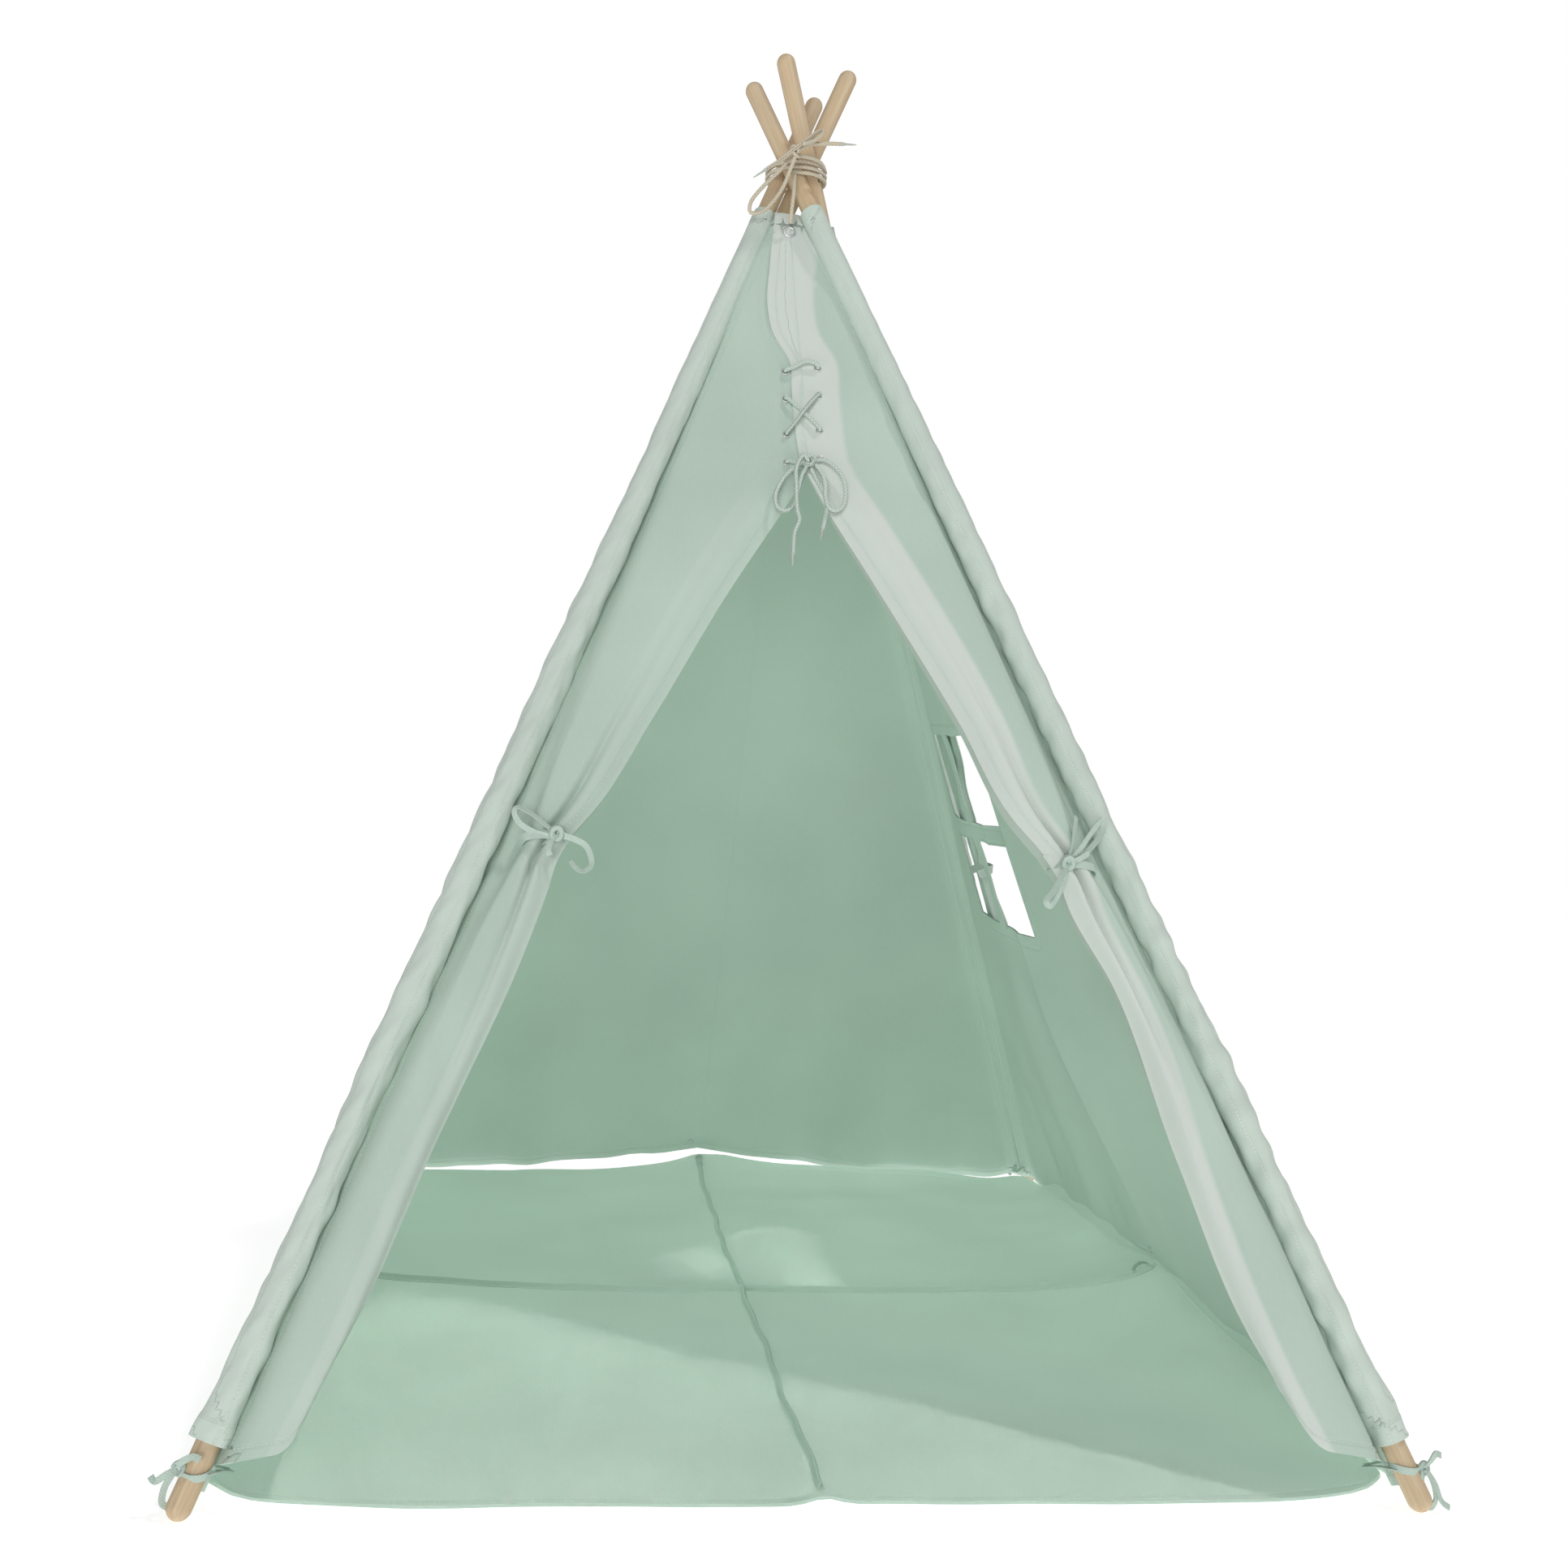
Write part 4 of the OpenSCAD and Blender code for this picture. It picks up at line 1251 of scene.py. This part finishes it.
def make_flap(side):
    """The lower front, gathered beside its pole from the tie down to the hem."""
    corner, name = SIDE_CORNERS[side], SIDE_NAMES[side]
    v = wall_rows([0.0, 0.03, 0.9, 1.0], 0.012)
    high = tie_h + 4 * MM
    along_pole = 34 * MM + v * (high - 34 * MM)
    near = near_x(along_pole, side)
    edge = side * curve_through(FLAP_EDGE[side], 60 * MM + v * (high - 60 * MM))
    x, beyond = add_lip(spread(near, edge, 36), edge, side * 9 * MM, np.array([0.17, 0.33, 0.5, 0.75, 1.0]))
    span = np.abs(edge - near)[:, None]
    across = np.where(beyond > 0, 1.0, np.abs(x - near[:, None]) / span)
    low = 42 * MM + 16 * MM * across + 52 * MM * smooth(across, 0.62, 1.05) ** 2 + 12 * MM * beyond
    h = low + v[:, None] * (high - low)
    from_axis = np.abs(pole_x(h, side) - x)
    points = on_wall(FRONT, x, h, flap_depth(side, x, h, across, beyond))
    from_hem = v[:, None] * (high - low)
    thickness = CLOTH_T + 1.3 * MM * (1 - smooth(from_hem, 13 * MM, 15 * MM))
    stitches = [(from_hem - 11 * MM, x), (from_axis - SLEEVE_R - SEAM_IN, h)]
    uv = np.stack([x, h / math.cos(slope)], -1)
    piece = cloth("cloth_flap_" + name, points, canvas, thickness, uv, side, None, stitches)
    # Painted light: the right flap's band is painted fully paler and the left one's only faintly, as if the
    # right side were lit more.
    add_facing_painted_light(piece, span * (1 - across), h, 1.0 if side == SECOND else 0.35, side)
    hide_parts("door_flap_" + name)
    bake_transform(piece)


for side in (FIRST, SECOND):
    make_front_panel(side)
    make_flap(side)

# ---- Ties and eyelets ----------------------------------------------------------------------------

def wall_tape(name, centre, places, width=7 * MM, tilt=0.9):
    """A tape in front of the front wall. places are millimetres from the centre: along, up and out.
    tilt turns its flat side from the plane of its bends (0) towards the front (1.57)."""
    p = np.array(centre) + np.array(places, float) * MM
    route = on_wall(FRONT, p[:, 0], p[:, 1], p[:, 2])
    front = on_wall(FRONT, 0, 0, 1.0) - on_wall(FRONT, 0, 0, 0.0)
    tangents = np.gradient(route, axis=0)
    inward = np.cross(tangents, front)
    inward /= np.maximum(np.linalg.norm(inward, axis=1, keepdims=True), 1e-9)
    face = inward * math.cos(tilt) + front * math.sin(tilt)
    return ribbon(name, route, width, 0.8 * MM, face, tape)


def tape_knot(name, centre, size, radius, steps):
    """A lump of tape wound round a place. size is its reach along X, Y and Z in millimetres."""
    t = np.linspace(0, 2 * math.pi, steps, endpoint=False)
    wind = np.stack([size[0] * np.cos(t), size[1] * np.sin(2 * t), size[2] * np.sin(t)], -1) * MM + centre
    return tube(name, np.concatenate([wind, wind[:2]]), radius, tape, 10)


# The bows' loops and ends, in millimetres from the knot: along the wall, up and out.
LEFT_BOW = (
    [
        (0, 0, 0), (-14, 9, 6), (-30, 20, 6), (-43, 26, 3),
        (-46, 20, 0), (-38, 9, -1), (-20, 0, 0), (-2, -3, 1)],
    [
        (0, 0, 0), (14, -4, 4), (30, -11, 5), (37, -22, 4),
        (38, -32, 2), (30, -38, 1), (22, -35, 1), (16, -28, 2)],
    [(0, 0, 1), (-5, -7, 2), (-8, -16, 0), (-6, -22, -2)],
)
RIGHT_BOW = (
    [
        (0, 0, 0), (14, 15, 6), (30, 35, 5), (43, 48, 3),
        (45, 40, 0), (35, 25, -1), (17, 8, 0), (1, -2, 1)],
    [
        (0, 0, 0), (-10, -16, 5), (-20, -31, 4), (-29, -42, 2),
        (-23, -46, -1), (-12, -32, -2), (-4, -14, 0), (0, -2, 1)],
    [(0, 0, 1), (6, 18, 4), (10, 36, 4), (14, 52, 2)],
    [(0, 0, 1), (12, 4, 4), (25, 12, 2)],
)


def make_door_tie(side):
    """A tape round the gathered door flap, tied in a bow."""
    corner, name = SIDE_CORNERS[side], SIDE_NAMES[side]
    centre = (side * 284 * MM, tie_h - (0 if side == FIRST else 8 * MM), 24 * MM)
    pieces = [
        wall_tape(f"bow_{name}_{number}", centre, places)
        for number, places in enumerate(LEFT_BOW if side == FIRST else RIGHT_BOW)
    ]
    band = [(-side * x, h, out) for x, h, out in (
        (-40, -3, -32), (-34, -2, -8), (-20, -1, 0), (0, 0, -1), (9, 1, -7), (13, 2, -30))]
    pieces.append(wall_tape(f"band_{name}", centre, band, 9 * MM, 1.5))
    middle = on_wall(FRONT, centre[0], centre[1], centre[2] + 2 * MM)
    pieces.append(tape_knot(f"knot_{name}", middle, (5.5, 0.8, 6.5), 3.4 * MM, 40))
    piece = join("tape_door_tie_" + name, pieces)
    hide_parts("door_tie_" + name)
    crumple(piece, FRONT, corner)


def eyelet(name, wall, x, h, outer, hole, out=0.0):
    """A pressed metal ring through the cloth: a rolled rim on both faces round a barrel. outer and hole are
    its radii in millimetres."""
    profile = [
        (hole, -1.6), (hole, 1.6), (hole + 0.5, 2.2), ((hole + outer) / 2, 2.5), (outer - 0.3, 2.0),
        (outer, 1.2), (outer, -1.2), (outer - 0.3, -1.8), (hole + 0.5, -2.0)]
    angles = np.linspace(0, 2 * math.pi, 32, endpoint=False)
    points = []
    for r, height in profile:
        across = x + r * MM * np.cos(angles)
        level = h + r * MM * np.sin(angles) * math.cos(slope)
        points.append(on_wall(wall, across, level, out + height * MM))
    verts = np.concatenate(points)
    count, faces = len(angles), []
    for i in range(len(profile)):
        j = (i + 1) % len(profile)
        for k in range(count):
            m = (k + 1) % count
            faces.append((i * count + k, i * count + m, j * count + m, j * count + k))
    return new_object(name, verts, faces, nickel)


def eyelet_piece(name, node, rings, wall, corner):
    piece = join(name, rings) if len(rings) > 1 else rings[0]
    piece.name = name
    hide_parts(node)
    crumple(piece, wall, corner)


def make_eyelets():
    for side, step in ((FIRST, 0), (SECOND, 8 * MM)):
        name = SIDE_NAMES[side]
        rings = [
            eyelet(f"ring_{name}_{i}", FRONT, side * 21 * MM, h * MM + step, 5, 3)
            for i, h in enumerate((1212, 1174, 1126, 1088))
        ]
        eyelet_piece("eyelets_" + name, "lacing_eyelets_" + name, rings, FRONT, SIDE_CORNERS[side])
    top = eyelet("eyelet_top", FRONT, -12 * MM, wall_top - 20 * MM, 9, 6, 1 * MM)
    eyelet_piece("eyelet_top", "top_eyelet", [top], FRONT, RIGHT)
    for wall, name in ((LEFT, "left"), (BACK, "back"), (RIGHT, "right")):
        ring = eyelet("hem_ring_" + name, wall, 14 * MM, HEM_EYELET_H, 6, 3.5)
        eyelet_piece("eyelet_hem_" + name, "hem_eyelet_" + name, [ring], wall, (wall + 1) % 4)


# Tape ends at each foot, in millimetres from the pole's axis at the band: right, away from the door, up.
CORNER_ENDS = (
    [
        [(-14, -8, 6), (-24, -12, 2), (-33, -12, -4), (-38, -10, 0)],
        [(-16, -10, 9), (-8, -14, 16), (0, -16, 20), (6, -15, 17)],
        [(-16, -9, 6), (-24, -13, -8), (-26, -14, -22), (-20, -14, -27)],
    ],
    [
        [
            (16, -8, 2), (12, -13, -12), (14, -15, -28), (21, -15, -34),
            (27, -14, -26), (24, -12, -10), (18, -9, 2)],
        [(17, -9, 3), (21, -12, 11), (26, -12, 18), (32, -11, 16)],
        [(17, -9, 2), (27, -12, -12), (33, -14, -28), (42, -14, -36)],
    ],
)


def make_corner_tie(corner):
    """A tape knotted round a pole's foot and through the mat's corner."""
    name = CORNERS[corner]
    height = 40 * MM
    axis = quarter_turned(foot + up_pole * (height - foot[2]) / up_pole[2], corner)
    inward = quarter_turned(np.array([1.0, 1.0, 0.0]) / math.sqrt(2), corner)
    aside = quarter_turned(np.array([-1.0, 1.0, 0.0]) / math.sqrt(2), corner)
    t = np.linspace(0, 2 * math.pi, 29)
    ring = axis + 13.6 * MM * (np.cos(t)[:, None] * inward + np.sin(t)[:, None] * aside)
    ring[:, 2] += 1.5 * MM * np.sin(t)
    outward = ring - axis
    pieces = [ribbon("band_" + name, ring, 7 * MM, 1.2 * MM, outward, tape, 2)]
    for way in (1, -1):
        link = [axis + inward * a * MM + aside * way * b * MM + np.array([0, 0, c * MM]) for a, b, c in (
            (2, 13.6, 0), (12, 11, -2), (22, 7, -5), (31, 4, -9), (38, 2, -12))]
        pieces.append(ribbon(f"link_{name}_{way}", link, 6 * MM, 1.2 * MM, (0, 0, 1), tape))
    ends = CORNER_ENDS[corner % 2]
    flip = np.array([1, 1 if corner in (0, 1) else -1, 1])
    for number, route in enumerate(ends):
        points = axis + np.array(route, float) * MM * flip
        points[:, 2] = np.maximum(points[:, 2], 5 * MM)
        pieces.append(ribbon(f"end_{name}_{number}", points, 6 * MM, 1.6 * MM, (0.5, -0.8, 0.4), tape))
    start = axis + np.array(ends[0][0], float) * MM * flip
    pieces.append(tape_knot("corner_knot_" + name, start, (4, 1.5, 5), 2.8 * MM, 30))
    piece = join("tape_corner_tie_" + name, pieces)
    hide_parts("corner_tie_" + name)
    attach(piece, "frame_" + name)


for side in (FIRST, SECOND):
    make_door_tie(side)
make_eyelets()
for corner in range(4):
    make_corner_tie(corner)

# ---- Mat -----------------------------------------------------------------------------------------

MAT_BODY = 3.2 * MM
LOOP_INSET = 28 * MM
LOOP_R = 14 * MM


def mat_height(x, y):
    """The mat ruffles a little, and is drawn up to three eyelets and to the ties at its corners."""
    lift = np.zeros(np.broadcast(x, y).shape)
    sides = ((y, mat_w / 2 - x), (x, mat_d / 2 - y), (y, mat_w / 2 + x))
    curls = (40 * MM, 4 * MM + 14 * MM * smooth(x, -0.05, 0.05), 10 * MM)
    for number, (along, inward) in enumerate(sides):
        into = np.maximum(inward, 0)
        lift += 36 * MM * np.exp(-np.abs(along) / 0.10) * np.exp(-into / 0.12)
        curl = curls[number] * np.exp(-into / 0.022)
        lift += curl * (1 - smooth(np.abs(along), 0.40, 0.55)) * smooth(np.abs(along), -0.05, 0.06)
    from_corner = np.hypot(mat_w / 2 - np.abs(x), mat_d / 2 - np.abs(y))
    lift += 24 * MM * np.exp(-from_corner / 0.045)
    place = np.stack(np.broadcast_arrays(x, y, 0 * x), -1)
    ruffle = 1.4 * MM * (1 + ripple(place, 0.22, 7, 10))
    pull = 2.5 * MM * ripple(place * np.array([0.6, 1.0, 1.0]), 0.12, 17, 8) * smooth(y, 0.12, 0.40)
    front_pucker = 7 * MM * np.exp(-((x / 0.02) ** 2)) * np.exp(-(y + mat_d / 2) / 0.07)
    return lift + np.maximum(ruffle + pull, 0) + front_pucker


def make_mat():
    """The padded canvas floor with a stitched hem."""
    def edge_rows(size):
        inner = np.linspace(-size / 2 + 0.06, size / 2 - 0.06, 80)
        rim = np.array([0, 3, 7, 11, 14, 18, 24, 32, 44]) * MM
        return np.concatenate([-size / 2 + rim, inner, size / 2 - rim[::-1]])
    ys = edge_rows(mat_d)
    us = edge_rows(mat_w) / (mat_w / 2)
    u, y = np.meshgrid(us, ys)
    beyond = np.maximum(np.abs(y) - (mat_d / 2 - mat_corner), 0)
    inset = mat_corner - np.sqrt(np.maximum(mat_corner**2 - beyond**2, 0))
    x = u * (mat_w / 2 - inset * smooth(np.abs(u), 0.5, 1.0))
    rim = np.minimum(mat_w / 2 - inset - np.abs(x), mat_d / 2 - np.abs(y))
    crown = 1.0 * MM * smooth(rim, 10 * MM, 40 * MM)
    z = MAT_BODY / 2 + 0.4 * MM + crown / 2 + mat_height(x, y)
    thickness = MAT_BODY + crown - 0.6 * MM * np.exp(-(((rim - 10 * MM) / (2.5 * MM)) ** 2))
    points = np.stack([x, y, z], -1)
    uv = np.stack([x, y], -1)
    stitches = [(rim - 10 * MM, x + y)]
    piece = shell("cloth_mat", points, mat_canvas, thickness, uv, stitches=stitches)
    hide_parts("floor_mat")
    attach(piece, "mat")


def make_mat_seams():
    """Two corded ridges where the mat's quarters are sewn together."""
    pieces = []
    across = np.array([-4, -2.8, -1.8, 0, 1.8, 2.8, 4]) * MM
    high = np.array([0, 0.6, 4.6, 6.4, 4.6, 0.6, 0]) * MM
    for name, length in (("x", mat_w - 24 * MM), ("y", mat_d - 24 * MM)):
        run = np.linspace(-length / 2, length / 2, 160)
        r, s = np.meshgrid(run, across, indexing="ij")
        wander = 1.5 * MM * np.sin(r * 23) + 1.0 * MM * np.sin(r * 61 + 1)
        x, y = (r, s + wander) if name == "x" else (s + wander, r)
        z = mat_height(x, y) + 4.7 * MM + high
        points = np.stack([x, y, z], -1)
        if name == "x":
            points = points[:, ::-1]
        uv = np.stack([s, r], -1)
        stitch = [(np.abs(s) - 3.3 * MM, r)]
        if name == "y":
            points, uv = points[::-1], uv[::-1]
            stitch = [(a[::-1], b[::-1]) for a, b in stitch]
        # The ridges take the seam canvas that is painted darker as shade.
        pieces.append(shell("seam_" + name, points, shaded_seam_canvas, 1.0 * MM, uv, stitches=stitch))
    piece = join("cloth_mat_seams", pieces)
    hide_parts("mat_seams")
    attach(piece, "mat")


def make_mat_loops():
    """A standing tape loop at the middle of each side that has a hem eyelet above it."""
    pieces = []
    for side, reach in ((RIGHT, mat_w / 2), (BACK, mat_d / 2), (LEFT, mat_w / 2)):
        angle = np.linspace(0, math.pi, 9)
        middle = LOOP_INSET - reach
        arch = np.stack([0 * angle, middle + LOOP_R * np.cos(angle), LOOP_R * np.sin(angle)], -1)
        ground = quarter_turned(np.array([0, middle, 0]), side)
        route = quarter_turned(arch, side)
        route[:, 2] += mat_height(ground[0], ground[1]) + MAT_BODY
        face = quarter_turned(np.stack([0 * angle, np.cos(angle), np.sin(angle)], -1), side)
        pieces.append(ribbon(f"loop_{side}", route, 10 * MM, 1.2 * MM, face, tape, 3))
    piece = join("tape_mat_loops", pieces)
    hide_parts("mat_loops")
    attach(piece, "mat")


make_mat()
make_mat_seams()
make_mat_loops()

# ---- Floor, light and world ----------------------------------------------------------------------

def make_floor():
    material, _, _ = start_material(
        "floor", 0.9, Base_Color=(0.6, 0.6, 0.6, 1.0), Emission_Color=(1, 1, 1, 1), Emission_Strength=0.75)
    bpy.ops.mesh.primitive_plane_add(size=14, location=(0, 0, -0.5 * MM))
    floor = bpy.context.active_object
    floor.name = "floor"
    floor.data.materials.append(material)


make_floor()
make_light()
make_world()
